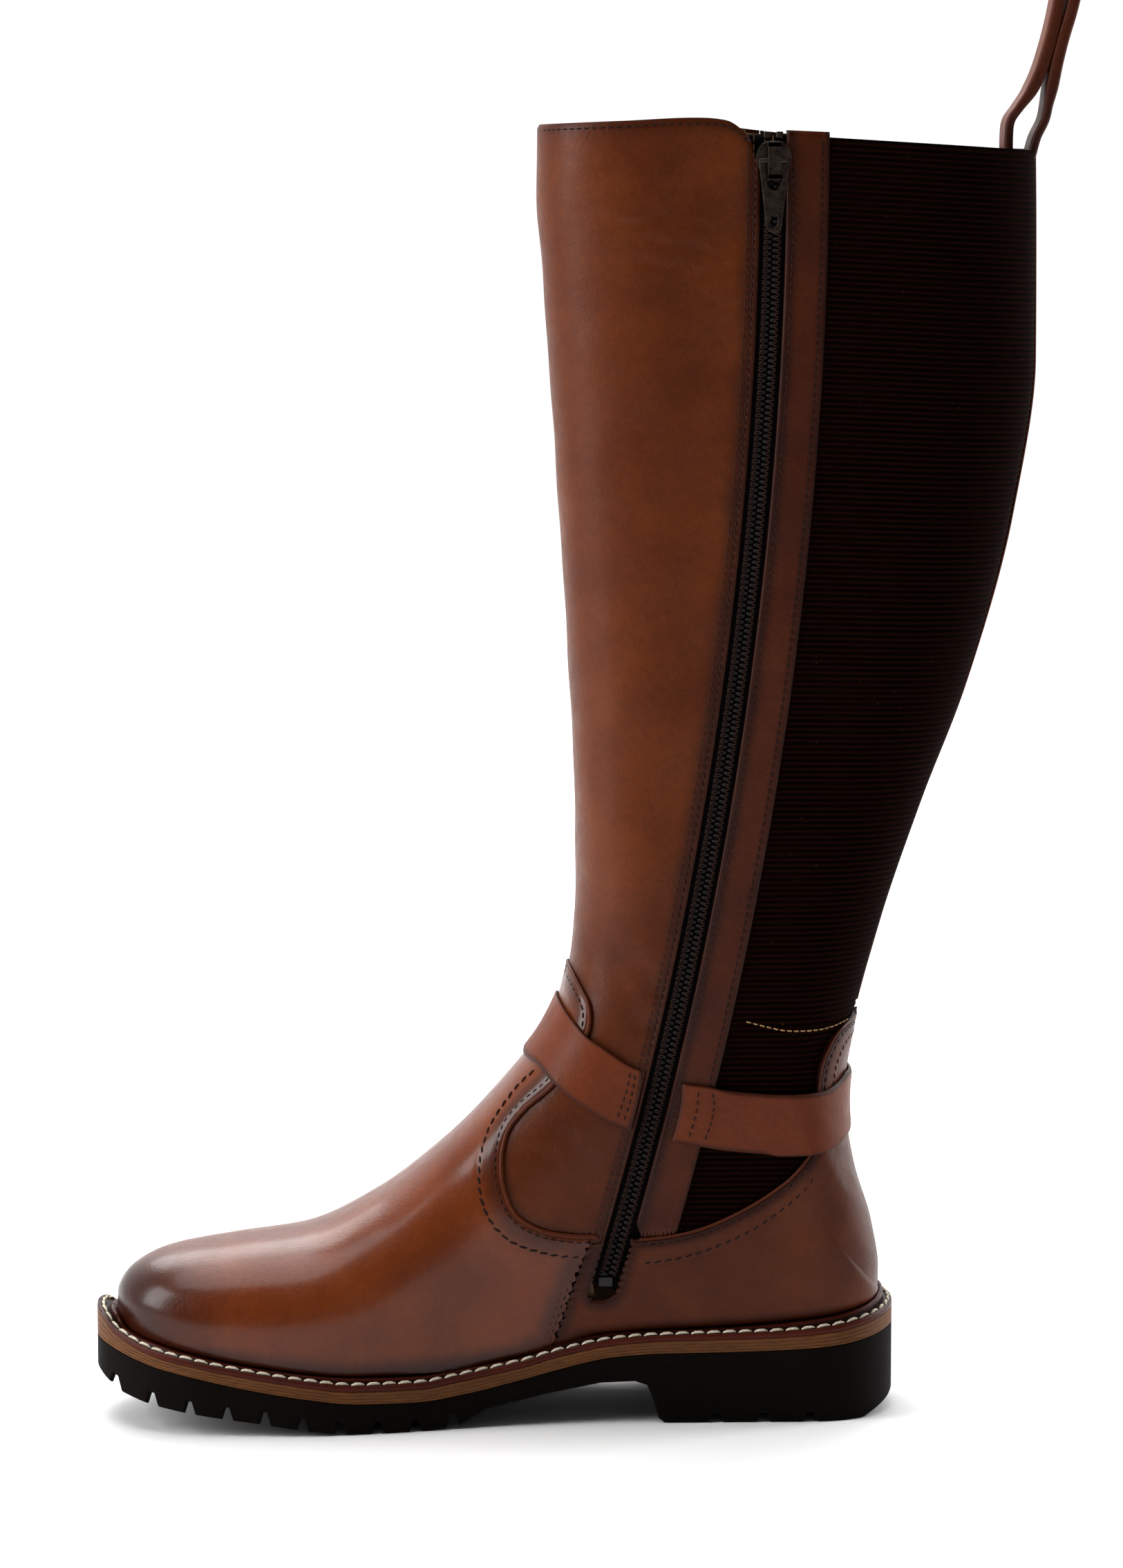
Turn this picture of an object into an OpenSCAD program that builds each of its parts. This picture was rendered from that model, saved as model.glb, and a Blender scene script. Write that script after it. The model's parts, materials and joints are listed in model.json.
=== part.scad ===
// Knee-high riding boot for the right foot, with a side zip, an elastic gore and an ankle strap.
// All lengths are in millimetres. The toe points to -X, the inner side of the leg faces -Y.
// A point of the upper is named by (t, u): t runs from the toe tip up to the top edge, and u runs
// round the foot or leg, -1 to 0 on the inner side, 0 to 1 on the outer side, 0 along the front.

/* [Leather] */
// Thickness of the outer leather
leather_t = 1.8; // [1.4:0.1:1.9]
// Thickness of the lining
lining_t = 1.0; // [0.8:0.1:1.2]
// Thickness of the ankle straps
strap_t = 1.8; // [1.4:0.1:1.8]

/* [Sole] */
// How far the sole's edge stands outside the upper
sole_edge = 4.8; // [4:0.1:5.4]
// Distance from one sole lug to the next
lug_pitch = 12.6; // [11:0.1:14]
// Length of one lug along the sole
lug_length = 8.2; // [7:0.1:9]
// Depth of the grooves between the lugs
lug_depth = 4.2; // [3:0.1:4.4]
// Distance from one welt stitch to the next
welt_stitch_pitch = 8; // [7:0.5:10]
// Length of one welt stitch
welt_stitch_length = 4.6; // [4:0.1:6]

/* [Zip] */
// Radius of the long arc that the zip follows
zip_r = 1310; // [1310:1:1310]
// Half the width of the opening between the leather edges
zip_gap = 4.3; // [4.1:0.1:4.6]
// Half the width of the interlocked teeth
teeth_half = 3.1; // [2.8:0.1:3.3]
// Width of each zip tape
tape_w = 8.5; // [8:0.1:9]
// Width of the leather strip behind the zip
strip_w = 14.2; // [13.5:0.1:15]
// Width of the zip slider
slider_w = 11.6; // [10:0.1:12]
// Length of the zip slider
slider_l = 13; // [12:0.1:14]
// Length of the zip puller, from its pivot to its tip
puller_l = 23.5; // [20:0.5:27]

/* [Ankle strap] */
// Clear width between the side bars of the buckle
buckle_in_w = 21.5; // [21:0.1:23]
// Distance between the two end bars of the buckle
buckle_l = 18; // [17:0.5:20]
// Radius of the buckle's bars
buckle_bar_r = 1.1; // [1:0.05:1.2]
// Width of the slot that the buckle's prong passes through
prong_slot = 3; // [2.8:0.1:3.4]

/* [Pull loop] */
// Width of the pull loop's strap
loop_w = 16; // [14:1:20]

/* [Hidden] */
$fn = 48;

// The middle of the box round the boot is 32 mm behind the drawing's zero.
middle_x = 32;

// ---- smooth curves ----

// Slope of the segment after point i of a list of [position, value]
function slope(p, i) = (p[i + 1][1] - p[i][1]) / (p[i + 1][0] - p[i][0]);
function tangent(p, i) =
    let (last = len(p) - 1)
    i == 0 ? slope(p, 0)
    : i == last ? slope(p, last - 1)
    : let (a = slope(p, i - 1), b = slope(p, i)) a * b <= 0 ? 0 : 2 * a * b / (a + b);
function segment(p, x, i = 0) = i >= len(p) - 2 || x < p[i + 1][0] ? i : segment(p, x, i + 1);
// A curve through the points that never swings past them
function curve(p, x) =
    let (i = segment(p, x), h = p[i + 1][0] - p[i][0], q = (x - p[i][0]) / h)
    x <= p[0][0] ? p[0][1]
    : (2 * q ^ 3 - 3 * q ^ 2 + 1) * p[i][1] + (q ^ 3 - 2 * q ^ 2 + q) * h * tangent(p, i)
    + (3 * q ^ 2 - 2 * q ^ 3) * p[i + 1][1] + (q ^ 3 - q ^ 2) * h * tangent(p, i + 1);
function mix(a, b, q) = a + (b - a) * q;
function clamp01(q) = min(1, max(0, q));
function smooth(q) = let (c = clamp01(q)) c * c * (3 - 2 * c);
// Root of a rising function between two bounds
function root(f, low, high, steps = 22) =
    let (mid = (low + high) / 2)
    steps == 0 ? mid : f(mid) > 0 ? root(f, low, mid, steps - 1) : root(f, mid, high, steps - 1);

// ---- outline of the foot ----

round_n = 2.3;
toe_x = -128.5;
heel_x = 131.6;
toe_cap = 42;
heel_cap = 32;
// Half-width of the foot along its length before its ends are rounded, as [x, y]
inner_side = [[-130, -36], [-115, -39.5], [-95, -41.5], [-65, -43], [-40, -40], [0, -32], [40, -28.5],
    [90, -28.5], [140, -29]];
outer_side = [[-130, 22], [-115, 27], [-95, 36], [-65, 43.5], [-35, 46], [0, 43], [40, 35], [70, 31.5],
    [90, 30.5], [140, 29]];
// The sole stands further out at the toe tip than along the sides
tip_reach = 1.45;
foot_axis = [[-130, -8], [-95, -6], [-65, -3], [-20, 0], [140, 0]];
function round_end(q) = q <= 0 ? 0 : q >= 1 ? 1 : (1 - (1 - q) ^ round_n) ^ (1 / round_n);
// Sideways position of the foot's edge, with the edge moved outwards by extra
function edge_y(x, side, extra) =
    let (
        c = curve(foot_axis, x),
        full = curve(side < 0 ? inner_side : outer_side, x) + side * extra,
        tip = toe_x - extra * (extra > 0 ? tip_reach : 1),
        ends = round_end((x - tip) / toe_cap) * round_end((heel_x + extra - x) / heel_cap)
    )
    c + (full - c) * ends;

// ---- rays across the upper ----

// Each row is [t, front x, front z, back x, back z, crest y, front rounding, back rounding].
// Up to t = 11 the back end lies on the line where the upper meets the welt.
rays = [
    [0, -128.5, 42, -128.5, 36.8, -8, 0.75, 0.25],
    [0.25, -128.1, 43.6, -128.1, 36, -8, 0.75, 0.25],
    [0.5, -127, 46, -127, 34.4, -7.8, 0.75, 0.25],
    [1, -123, 50.4, -122.5, 31.6, -7.5, 0.75, 0.25],
    [2, -112, 55.5, -112, 29, -7, 0.75, 0.25],
    [3, -90, 59, -92, 24.9, -5.5, 0.75, 0.25],
    [4, -64, 62.4, -70, 21.4, -4, 0.72, 0.25],
    [5, -40, 73.6, -46, 19, -2.5, 0.7, 0.24],
    [6, -16, 92.3, -20, 18.9, -1, 0.62, 0.22],
    [7, 4, 113, 8, 23.3, 0, 0.5, 0.2],
    [8, 17, 130, 38, 30.8, 0, 0.42, 0.13],
    [9, 23.5, 144, 70, 32.1, 0, 0.34, 0.2],
    [10, 26.5, 157, 104, 34.8, 0, 0.31, 0.22],
    [10.5, 27, 163.5, 121, 37, 0, 0.3, 0.23],
    [10.8, 27.2, 167, 129, 39, 0, 0.3, 0.24],
    [11, 27.3, 169, 131.5, 41, 0, 0.3, 0.25],
    [12, 27.6, 175, 131.6, 48, 0, 0.3, 0.26],
    [13, 27.8, 182, 129, 64, 0, 0.3, 0.27],
    [14, 27.9, 190, 123, 84, 0, 0.3, 0.28],
    [15, 27.8, 200, 119.8, 107, 0, 0.3, 0.28],
    [16, 27.4, 214, 122, 130, 0, 0.3, 0.28],
    [17, 26.6, 232, 131, 166, 0, 0.3, 0.28],
    [18, 25.2, 257, 145, 208, 0, 0.29, 0.28],
    [19, 23, 292, 160, 248, 0, 0.28, 0.28],
    [20, 20, 337, 175, 304, 0, 0.27, 0.28],
    [21, 17, 382, 182.3, 357, 0, 0.26, 0.28],
    [22, 14.8, 412, 182, 400, 0, 0.26, 0.28],
    [23, 15, 435, 181.5, 428, 0, 0.26, 0.28]
];
top_t = 23;
heel_t = 11;
leg_half = 33;
function column(c) = [for (r = rays) [r[0], r[c]]];
front_x = column(1);
front_z = column(2);
back_x = column(3);
back_z = column(4);
crest_y = column(5);
front_round = column(6);
back_round = column(7);

// Position along a ray, 0 at its front end and 1 at its back end, for a place u round the section
function stretch(a, b) = 1 + 0.57 * (a + b);
function along(t, u) =
    let (
        a = curve(front_round, t),
        b = curve(back_round, t),
        ua = a * 1.57 / stretch(a, b),
        ub = 1 - b * 1.57 / stretch(a, b)
    )
    u < ua ? a * (1 - cos(90 * u / ua) ^ (2 / round_n))
    : u <= ub ? a + (u - ua) / (ub - ua) * (1 - a - b)
    : 1 - b * (1 - cos(90 * (1 - u) / (1 - ub)) ^ (2 / round_n));
function around(t, s) =
    let (
        a = curve(front_round, t),
        b = curve(back_round, t),
        ua = a * 1.57 / stretch(a, b),
        ub = 1 - b * 1.57 / stretch(a, b)
    )
    s < a ? ua * acos((1 - s / a) ^ (round_n / 2)) / 90
    : s <= 1 - b ? ua + (s - a) / (1 - a - b) * (ub - ua)
    : 1 - (1 - ub) * acos((1 - (1 - s) / b) ^ (round_n / 2)) / 90;

// Ends of a ray, with the surface moved outwards by off
function shift_x(x, off) = x * (1 + off / 130);
function front_end(t, off) =
    let (f = [curve(front_x, t), curve(front_z, t)], b = [curve(back_x, t), curve(back_z, t)])
    let (d = (b - f) / norm(b - f))
    [f[0] < 0 ? shift_x(f[0], off) : f[0], f[1]] - [f[0] < 0 ? 0 : d[0] * off, d[1] * off];
function back_end(t, off) =
    let (f = [curve(front_x, t), curve(front_z, t)], b = [curve(back_x, t), curve(back_z, t)])
    let (d = (b - f) / norm(b - f), q = smooth((t - 10.5) / 1.5))
    [mix(shift_x(b[0], off), b[0] + d[0] * off, q), b[1] + d[1] * off * q];

// A point of the upper's surface, moved outwards by off
function skin(t, u, off) =
    let (
        side = u < 0 ? -1 : 1,
        s = along(t, abs(u)),
        a = curve(front_round, t),
        b = curve(back_round, t),
        f = front_end(t, off),
        e = back_end(t, off),
        rise = s >= a ? 1 : (1 - (1 - s / a) ^ round_n) ^ (1 / round_n),
        fall = s <= 1 - b ? 0 : 1 - (1 - min(1, (s - 1 + b) / b) ^ round_n) ^ (1 / round_n),
        low = t < heel_t ? edge_y(e[0], side, off) : 0,
        wide = mix(edge_y(e[0], side, off) * 1.03, side * (leg_half + off), t >= 8 ? 1 : smooth((t - 5) / 3)),
        crest = curve(crest_y, t)
    )
    [mix(f[0], e[0], s), crest * (1 - rise) + rise * mix(wide, low, fall), mix(f[1], e[1], s)];

// ---- sheets of leather ----

function flat_list(rows) = [for (r = rows) each r];
// A closed sheet between two grids of points, each a list of rows
module sheet(outer, inner) {
    rows = len(outer);
    cols = len(outer[0]);
    total = rows * cols;
    top = [for (i = [0 : rows - 2], j = [0 : cols - 2]) let (a = i * cols + j)
        each [[a, a + 1, a + cols + 1], [a, a + cols + 1, a + cols]]];
    under = [for (f = top) [f[2] + total, f[1] + total, f[0] + total]];
    rim = concat(
        [for (j = [0 : cols - 1]) j],
        [for (i = [1 : rows - 1]) i * cols + cols - 1],
        [for (j = [1 : cols - 1]) (rows - 1) * cols + cols - 1 - j],
        [for (i = [1 : rows - 2]) (rows - 1 - i) * cols]
    );
    wall = [for (k = [0 : len(rim) - 1]) let (a = rim[k], b = rim[(k + 1) % len(rim)])
        each [[a, a + total, b + total], [a, b + total, b]]];
    polyhedron(points = concat(flat_list(outer), flat_list(inner)), faces = concat(top, under, wall));
}
// A sheet over a grid of [t, u] places, from one offset to another
module skin_sheet(places, off_in, off_out) {
    sheet(
        [for (row = places) [for (p = row) skin(p[0], p[1], off_out)]],
        [for (row = places) [for (p = row) skin(p[0], p[1], off_in)]]
    );
}
// Rows of a panel lie closer together towards the ankle, by this power
row_bias = 1.25;
// Places of a panel with a side edge each way, given as u of t, a lower edge and an upper edge, given
// as t at each of the columns' shares of the width
function panel(left, right, low, high, shares, rows) =
    [for (i = [0 : rows]) [for (k = [0 : len(shares) - 1])
        let (t = mix(low[k], high[k], (i / rows) ^ row_bias)) [t, mix(left(t), right(t), shares[k])]]];
function steps(n) = [for (i = [0 : n]) i / n];
function same(value, n) = [for (i = [0 : n]) value];

// ---- edges on the upper ----

zip_x = -1218.5;
zip_z = 423.5;
// Place along a ray where it crosses the circle of radius r round the zip's far centre
function ray_at_radius(t, r) =
    let (
        f = [curve(front_x, t) - zip_x, curve(front_z, t) - zip_z],
        d = [curve(back_x, t) - zip_x, curve(back_z, t) - zip_z] - f,
        a = d * d,
        b = 2 * f * d,
        c = f * f - r * r
    )
    min(1, (-b + sqrt(b * b - 4 * a * c)) / (2 * a));
function zip_u(t, r) = around(t, ray_at_radius(t, r));

// The vamp's rear edge, as [share of the ray, t]: a tongue up the front, a dip at each side and a seam
vamp_edge = [[0, 9.6], [0.05, 9.65], [0.09, 9.58], [0.11, 9.4], [0.128, 9.05], [0.146, 7.95],
    [0.156, 7.5], [0.172, 7.1], [0.21, 6.9], [0.32, 6.88], [0.46, 7], [0.56, 7.33], [0.63, 7.7],
    [0.67, 8.12], [0.8, 7.9], [0.865, 7.77], [1, 7.48]];
// The counter's upper edge, as [t, share of the ray]
counter_edge = [[7.4, 0.7], [8.63, 0.702], [9.13, 0.716], [9.6, 0.712], [10.7, 0.672], [11.53, 0.689],
    [13.5, 0.823], [14.77, 0.873], [15.23, 0.886], [15.81, 0.925], [16.2, 1], [24, 1]];
counter_top_t = 16.2;
// The counter's front edge, as [share of the ray, t]
counter_front = [[0.69, 8.66], [0.8, 8.3], [0.85, 8.15], [0.9, 7.97], [1, 7.53]];
counter_front_outer = [[0.69, 8.3], [0.8, 8.08], [0.9, 7.82], [1, 7.53]];
// The lower edge of the elastic, as [share of the ray, t]
elastic_low = [[0.5, 14.2], [0.58, 14.54], [0.73, 15.12], [0.82, 15.5], [0.9, 15.84], [1, 16.24]];

function counter_u(t) = around(t, min(1, curve(counter_edge, t)));
// Height t at which a panel's column meets an edge given as t of the share of the ray
function meet(edge, left, right, share, low, high) =
    root(function(t) t - curve(edge, along(t, abs(mix(left(t), right(t), share)))), low, high);

front_left = function(t) -zip_u(t, zip_r - zip_gap);
front_right = function(t) min(zip_u(t, zip_r), counter_u(t) - 0.006);
front_cols = 26;
front_shares = steps(front_cols);
front_low = [for (k = front_shares) meet(vamp_edge, front_left, front_right, k, 6.4, 10)];
front_low_u = [for (k = [0 : front_cols])
    mix(front_left(front_low[k]), front_right(front_low[k]), front_shares[k])];

// ---- the sole ----

function plan_xs(extra, n) = [for (i = [0 : n])
    mix(toe_x - extra * (extra > 0 ? tip_reach : 1), heel_x + extra, (1 - cos(180 * i / n)) / 2)];
function plan(extra, n = 32) = concat(
    [for (x = plan_xs(extra, n)) [x, edge_y(x, -1, extra)]],
    [for (i = [n - 1 : -1 : 1]) let (x = plan_xs(extra, n)[i]) [x, edge_y(x, 1, extra)]]
);
feather = [[-136, 38.5], [-128.5, 36.8], [-125, 32.5], [-115, 29.7], [-103, 27], [-85, 23.6],
    [-65.6, 20.8], [-46, 19], [-26.6, 18.5], [-12, 20.1], [9.6, 23.6], [20.7, 27.8], [40.5, 31.2],
    [55, 31.8], [75, 32.3], [95, 33.6], [115, 36.1], [125.5, 38], [131.6, 40.5], [140, 43]];
tan_top = [[-140, 38.5], [-133.3, 35.5], [-128.3, 31], [-115, 26], [-103, 23.6], [-85, 20.1],
    [-65.5, 16.9], [-46, 14.6], [-26.6, 14.5], [-12, 16.4], [9.5, 20.4], [20.6, 23.3], [40, 27],
    [55, 28.1], [75, 28.6], [94.5, 29.1], [114.6, 30.8], [125, 32.4], [136.4, 34.6], [140, 35.4]];
tan_bottom = [[-140, 30], [-133.3, 27.5], [-115, 22.4], [-103, 20], [-85, 16.1], [-65.5, 12.8],
    [-46, 10.4], [-26.6, 10.1], [-12, 11.7], [9.5, 16.2], [20.6, 19], [40, 22.9], [55, 23.9],
    [75, 24.2], [94.5, 24.7], [114.7, 26], [125, 27.3], [136.4, 29.2], [140, 29.8]];
// The line that the lugs' feet touch, from the toe to the arch
tread = [[-140, 19.6], [-134.9, 16.4], [-125, 11.2], [-106, 7.7], [-92, 5.7], [-79, 4], [-67, 2.1],
    [-57, 0.8], [-47, 0], [-27, 0], [-14, 1.1], [-4, 4.4]];
arch = [[-3.5, 6.4], [15.6, 10.5], [35.4, 14], [47, 14.4], [51, 13], [53, 8.5], [55, 1.6], [57, 0]];
heel_grooves = [72, 88, 104];
heel_rear = [[125, 0], [134.5, 4.2], [140, 8]];

// A slab between two lines seen from the side, cut to a plan outline
module slab(upper, lower) {
    rotate([90, 0, 0])
        linear_extrude(height = 130, center = true)
            polygon(concat(upper, [for (i = [len(lower) - 1 : -1 : 0]) lower[i]]));
}
module column_of(outer, inner = undef) {
    linear_extrude(height = 60)
        difference() {
            polygon(plan(outer));
            if (inner != undef)
                polygon(plan(inner));
        }
}
function raised(line, h) = [for (p = line) [p[0], p[1] + h]];
lug_count = floor((-8 + 138) / lug_pitch);
function lug_line() = [for (i = [0 : lug_count]) let (x = -139 + i * lug_pitch) each [
    [x, curve(tread, x)],
    [x + lug_length, curve(tread, x + lug_length)],
    [x + lug_length + 1, curve(tread, x + lug_length + 1) + lug_depth],
    [x + lug_pitch - 1, curve(tread, x + lug_pitch - 1) + lug_depth]
]];
function heel_line() = concat(
    [for (x = heel_grooves) each [[x, 0], [x + 1, 3], [x + 4, 3], [x + 5, 0]]],
    heel_rear
);
module outsole() {
    color([0.04, 0.04, 0.04])
        difference() {
            intersection() {
                column_of(sole_edge);
                slab(tan_bottom, concat([for (p = lug_line()) if (p[0] < -6) p], arch, heel_line()));
            }
            intersection() {
                translate([-150, -4, -10])
                    cube([142, 5, 50]);
                slab(raised(tread, lug_depth - 1), [[-150, -20], [0, -20]]);
            }
        }
}
module midsole() {
    color([0.55, 0.4, 0.26])
        intersection() {
            column_of(sole_edge);
            slab(tan_top, tan_bottom);
        }
}
welt_flat = 2.1;
welt_lip = 1.7;
welt_inset = 7;
// Room between the welt's lip and the upper's lower edge
welt_room = 0.6;
module welt() {
    color([0.35, 0.16, 0.09])
        union() {
            intersection() {
                column_of(sole_edge, -welt_inset);
                slab(raised(tan_top, welt_flat), tan_top);
            }
            intersection() {
                column_of(welt_lip, -welt_inset);
                slab(raised(feather, -welt_room), raised(tan_top, welt_flat - 0.5));
            }
        }
}
stitch_r = 0.5;
stitch_out = 3.5;
stitch_lift = 0.45;
module welt_stitch(x, side) {
    step = 1.5;
    a = [x - step, edge_y(x - step, side, stitch_out), curve(tan_top, x - step)];
    b = [x + step, edge_y(x + step, side, stitch_out), curve(tan_top, x + step)];
    d = b - a;
    translate((a + b) / 2 + [0, 0, welt_flat + stitch_r + stitch_lift])
        rotate([0, acos(d[2] / norm(d)), atan2(d[1], d[0])])
            cylinder(r = stitch_r, h = welt_stitch_length, center = true, $fn = 16);
}
module welt_stitching() {
    color([0.9, 0.88, 0.8])
        for (side = [-1, 1], x = [-116 : welt_stitch_pitch : 122])
            welt_stitch(x, side);
}
shank_w = 14;
module shank_strip(play) {
    intersection() {
        translate([-20 - play, -shank_w / 2 - play, 0])
            cube([110 + 2 * play, shank_w + 2 * play, 60]);
        slab(raised(tan_top, 1.9 + play), raised(tan_top, 0.7 - play));
    }
}
module shank() {
    color([0.6, 0.62, 0.65])
        shank_strip(0);
}
module cork_filler() {
    color([0.62, 0.47, 0.32])
        difference() {
            intersection() {
                column_of(-welt_inset - 0.2);
                slab(raised(feather, -0.1), tan_top);
            }
            shank_strip(0.1);
        }
}
board_t = 2.4;
footbed_t = 3.5;
module insole_board() {
    color([0.5, 0.38, 0.25])
        intersection() {
            column_of(-7.9);
            slab(raised(feather, board_t), feather);
        }
}
module footbed() {
    color([0.45, 0.3, 0.2])
        intersection() {
            column_of(-9);
            slab(raised(feather, board_t + footbed_t), raised(feather, board_t));
        }
}

// ---- the upper ----

toe_rows = [0.05, 0.25, 0.5, 1, 1.5, 2, 2.5, 3, 4, 5];
instep_rows = 11;
lining_start = 0.25;
vamp_us = concat(
    [for (u = [0 : 0.04 : 0.999]) if (u < 1 + front_low_u[0] - 0.02) u - 1],
    front_low_u,
    [for (u = [0.999 : -0.04 : 0]) if (1 - u > front_low_u[front_cols] + 0.02) 1 - u]
);
function vamp_us_sorted() = concat([for (u = vamp_us) if (u < 0.999) u], [1]);
function vamp_top(u) =
    root(function(t) t - curve(vamp_edge, along(t, abs(u))), 6.4, 10);
module vamp() {
    us = vamp_us_sorted();
    color([0.36, 0.16, 0.08])
        skin_sheet(
            concat(
                [for (t = toe_rows) [for (u = us) [t, u]]],
                [for (i = [1 : instep_rows]) [for (u = us) [mix(5, vamp_top(u), i / instep_rows), u]]]
            ),
            -leather_t, 0
        );
}
stiff_gap = 0.6;
stiff_t = 0.5;
module toe_puff() {
    color([0.75, 0.72, 0.65])
        skin_sheet(
            [for (t = toe_rows) if (t > lining_start && t <= 3)
                [for (u = vamp_us_sorted()) if (abs(u) < 0.97) [t, u]]],
            -leather_t - stiff_gap - stiff_t, -leather_t - stiff_gap
        );
}
function half_places(left, right, front, low_t, rows, cols) =
    panel(left, right, [for (k = steps(cols)) meet(front, left, right, k, 7.2, 9)],
        same(low_t, cols), steps(cols), rows);
counter_rows = 18;
counter_cols = 11;
counter_places_in = half_places(function(t) -1, function(t) -counter_u(t) - 0.002, counter_front, 16.1,
    counter_rows, counter_cols);
counter_places_out = half_places(function(t) counter_u(t) + 0.002, function(t) 1, counter_front_outer, 16.1,
    counter_rows, counter_cols);
module counter_medial() {
    color([0.3, 0.13, 0.07])
        skin_sheet(counter_places_in, -leather_t, 0);
}
module counter_lateral() {
    color([0.3, 0.13, 0.07])
        skin_sheet(counter_places_out, -leather_t, 0);
}
// The stiffener backs the counter's rear, on the same net of places
stiff_cols = 6;
function backed(places, first_col) =
    [for (i = [4 : 15]) [for (k = [first_col : first_col + stiff_cols]) places[i][k]]];
module heel_stiffener(side) {
    color([0.75, 0.72, 0.65])
        skin_sheet(
            side < 0 ? backed(counter_places_in, 0) : backed(counter_places_out, counter_cols - stiff_cols),
            -leather_t - stiff_gap - stiff_t, -leather_t - stiff_gap
        );
}
module heel_stiffener_medial() {
    heel_stiffener(-1);
}
module heel_stiffener_lateral() {
    heel_stiffener(1);
}
module shaft_front_panel() {
    color([0.4, 0.19, 0.1])
        skin_sheet(
            panel(front_left, front_right, front_low, same(top_t, front_cols), front_shares, 20),
            -leather_t, 0
        );
}
seam_gap = 0.3;
module shaft_lateral_panel() {
    color([0.4, 0.19, 0.1])
        skin_sheet(
            panel(function(t) zip_u(t, zip_r + seam_gap),
                function(t) counter_u(t) - (t < counter_top_t ? 0.004 : 0),
                same(8.4, 13), same(top_t, 13), steps(13), 25),
            -leather_t, 0
        );
}
strip_edge = zip_r + zip_gap + strip_w;
module zip_strip() {
    color([0.36, 0.16, 0.08])
        skin_sheet(
            panel(function(t) -zip_u(t, strip_edge), function(t) -zip_u(t, zip_r + zip_gap),
                same(9.3, 2), same(top_t, 2), steps(2), 20),
            -leather_t, 0
        );
}
elastic_in = -leather_t;
elastic_out = -0.4;
rear_right = function(t) -zip_u(t, strip_edge + seam_gap);
module elastic_panel() {
    back = function(t) -1;
    low = [for (k = steps(8)) meet(elastic_low, back, rear_right, k, 13, 17)];
    color([0.1, 0.06, 0.05])
        skin_sheet(panel(back, rear_right, low, same(top_t - 0.1, 8), steps(8), 14), elastic_in, elastic_out);
}
module elastic_gusset() {
    back = function(t) -counter_u(t) + 0.004;
    high = [for (k = steps(14)) meet(elastic_low, back, rear_right, k, 13, 17) - 0.02];
    color([0.1, 0.06, 0.05])
        skin_sheet(panel(back, rear_right, same(9.6, 14), high, steps(14), 24), elastic_in, elastic_out);
}
lining_out = -leather_t - 2 * stiff_gap - stiff_t;
lining_in = lining_out - lining_t;
// The leg's lining lies looser than the foot's
leg_lining_drop = 0.5;
lining_slot = 10;
module vamp_lining() {
    color([0.55, 0.42, 0.3])
        skin_sheet(
            concat(
                [for (t = toe_rows) if (t > lining_start) [for (u = vamp_us_sorted()) [t, u]]],
                [for (t = [5.5 : 0.49 : 7.96]) [for (u = vamp_us_sorted()) [t, u]]]
            ),
            lining_in, lining_out
        );
}
module shaft_lining_front() {
    color([0.55, 0.42, 0.3])
        skin_sheet(
            panel(function(t) -zip_u(t, zip_r - lining_slot), function(t) 1,
                same(8, 28), same(top_t, 28), steps(28), 24),
            lining_in - leg_lining_drop, lining_out - leg_lining_drop
        );
}
module shaft_lining_rear() {
    color([0.55, 0.42, 0.3])
        skin_sheet(
            panel(function(t) -1, function(t) -zip_u(t, zip_r + lining_slot),
                same(8.9, 10), same(top_t, 10), steps(10), 23),
            lining_in - leg_lining_drop, lining_out - leg_lining_drop
        );
}

// ---- the zip ----

// Angle on the zip's arc for a height above the ground
function zip_angle(z) = asin((z - zip_z) / zip_r);
// A band that follows the zip's arc, between two radii from the arc, two depths and two heights
module zip_band(r0, r1, y0, y1, z0, z1) {
    translate([zip_x, 0, zip_z])
        rotate([90, 0, 0])
            rotate([0, 0, zip_angle(z0)])
                rotate_extrude(angle = zip_angle(z1) - zip_angle(z0), $fn = 360)
                    translate([zip_r + r0, -y1])
                        square([r1 - r0, y1 - y0]);
}
zip_low_z = 50;
zip_high_z = 430;
tape_y = -leg_half + leather_t + 1.4;
tape_t = 0.6;
teeth_y = -leg_half - 0.2;
teeth_split = 0.25;
module zip_tape_front() {
    color([0.05, 0.04, 0.04])
        zip_band(-tape_w, -teeth_split, tape_y, tape_y + tape_t, zip_low_z - 4, zip_high_z + 2);
}
module zip_tape_rear() {
    color([0.05, 0.04, 0.04])
        zip_band(teeth_split, tape_w, tape_y, tape_y + tape_t, zip_low_z - 4, zip_high_z + 2);
}
module zip_teeth_front() {
    color([0.1, 0.06, 0.05])
        zip_band(-teeth_half, -teeth_split, teeth_y, tape_y, zip_low_z + 1, zip_high_z);
}
module zip_teeth_rear() {
    color([0.1, 0.06, 0.05])
        zip_band(teeth_split, teeth_half, teeth_y, tape_y, zip_low_z + 1, zip_high_z);
}
module zip_top_stops() {
    color([0.3, 0.27, 0.22]) {
        zip_band(-teeth_half, -1, teeth_y, tape_y, zip_high_z + 1, zip_high_z + 3);
        zip_band(1, teeth_half, teeth_y, tape_y, zip_high_z + 1, zip_high_z + 3);
    }
}
module zip_bottom_stop() {
    color([0.3, 0.27, 0.22])
        zip_band(-2.4, 2.4, teeth_y, tape_y, zip_low_z - 3, zip_low_z + 0.5);
}
guard_y = -leg_half - lining_in + 2.2;
module zip_guard() {
    color([0.2, 0.1, 0.06])
        zip_band(-13, 13, guard_y, guard_y + 1.1, zip_low_z + 8, zip_high_z - 2);
}

slider_z = zip_z;
slider_x = zip_x + zip_r;
plate_back_y = teeth_y - 0.4;
plate_t = 1.3;
plate_y = plate_back_y - plate_t;
bridge_w = 4.4;
bridge_rise = 3.5;
bridge_t = 1.2;
pivot_y = plate_y - 1.2;
pivot_r = 0.8;
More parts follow.
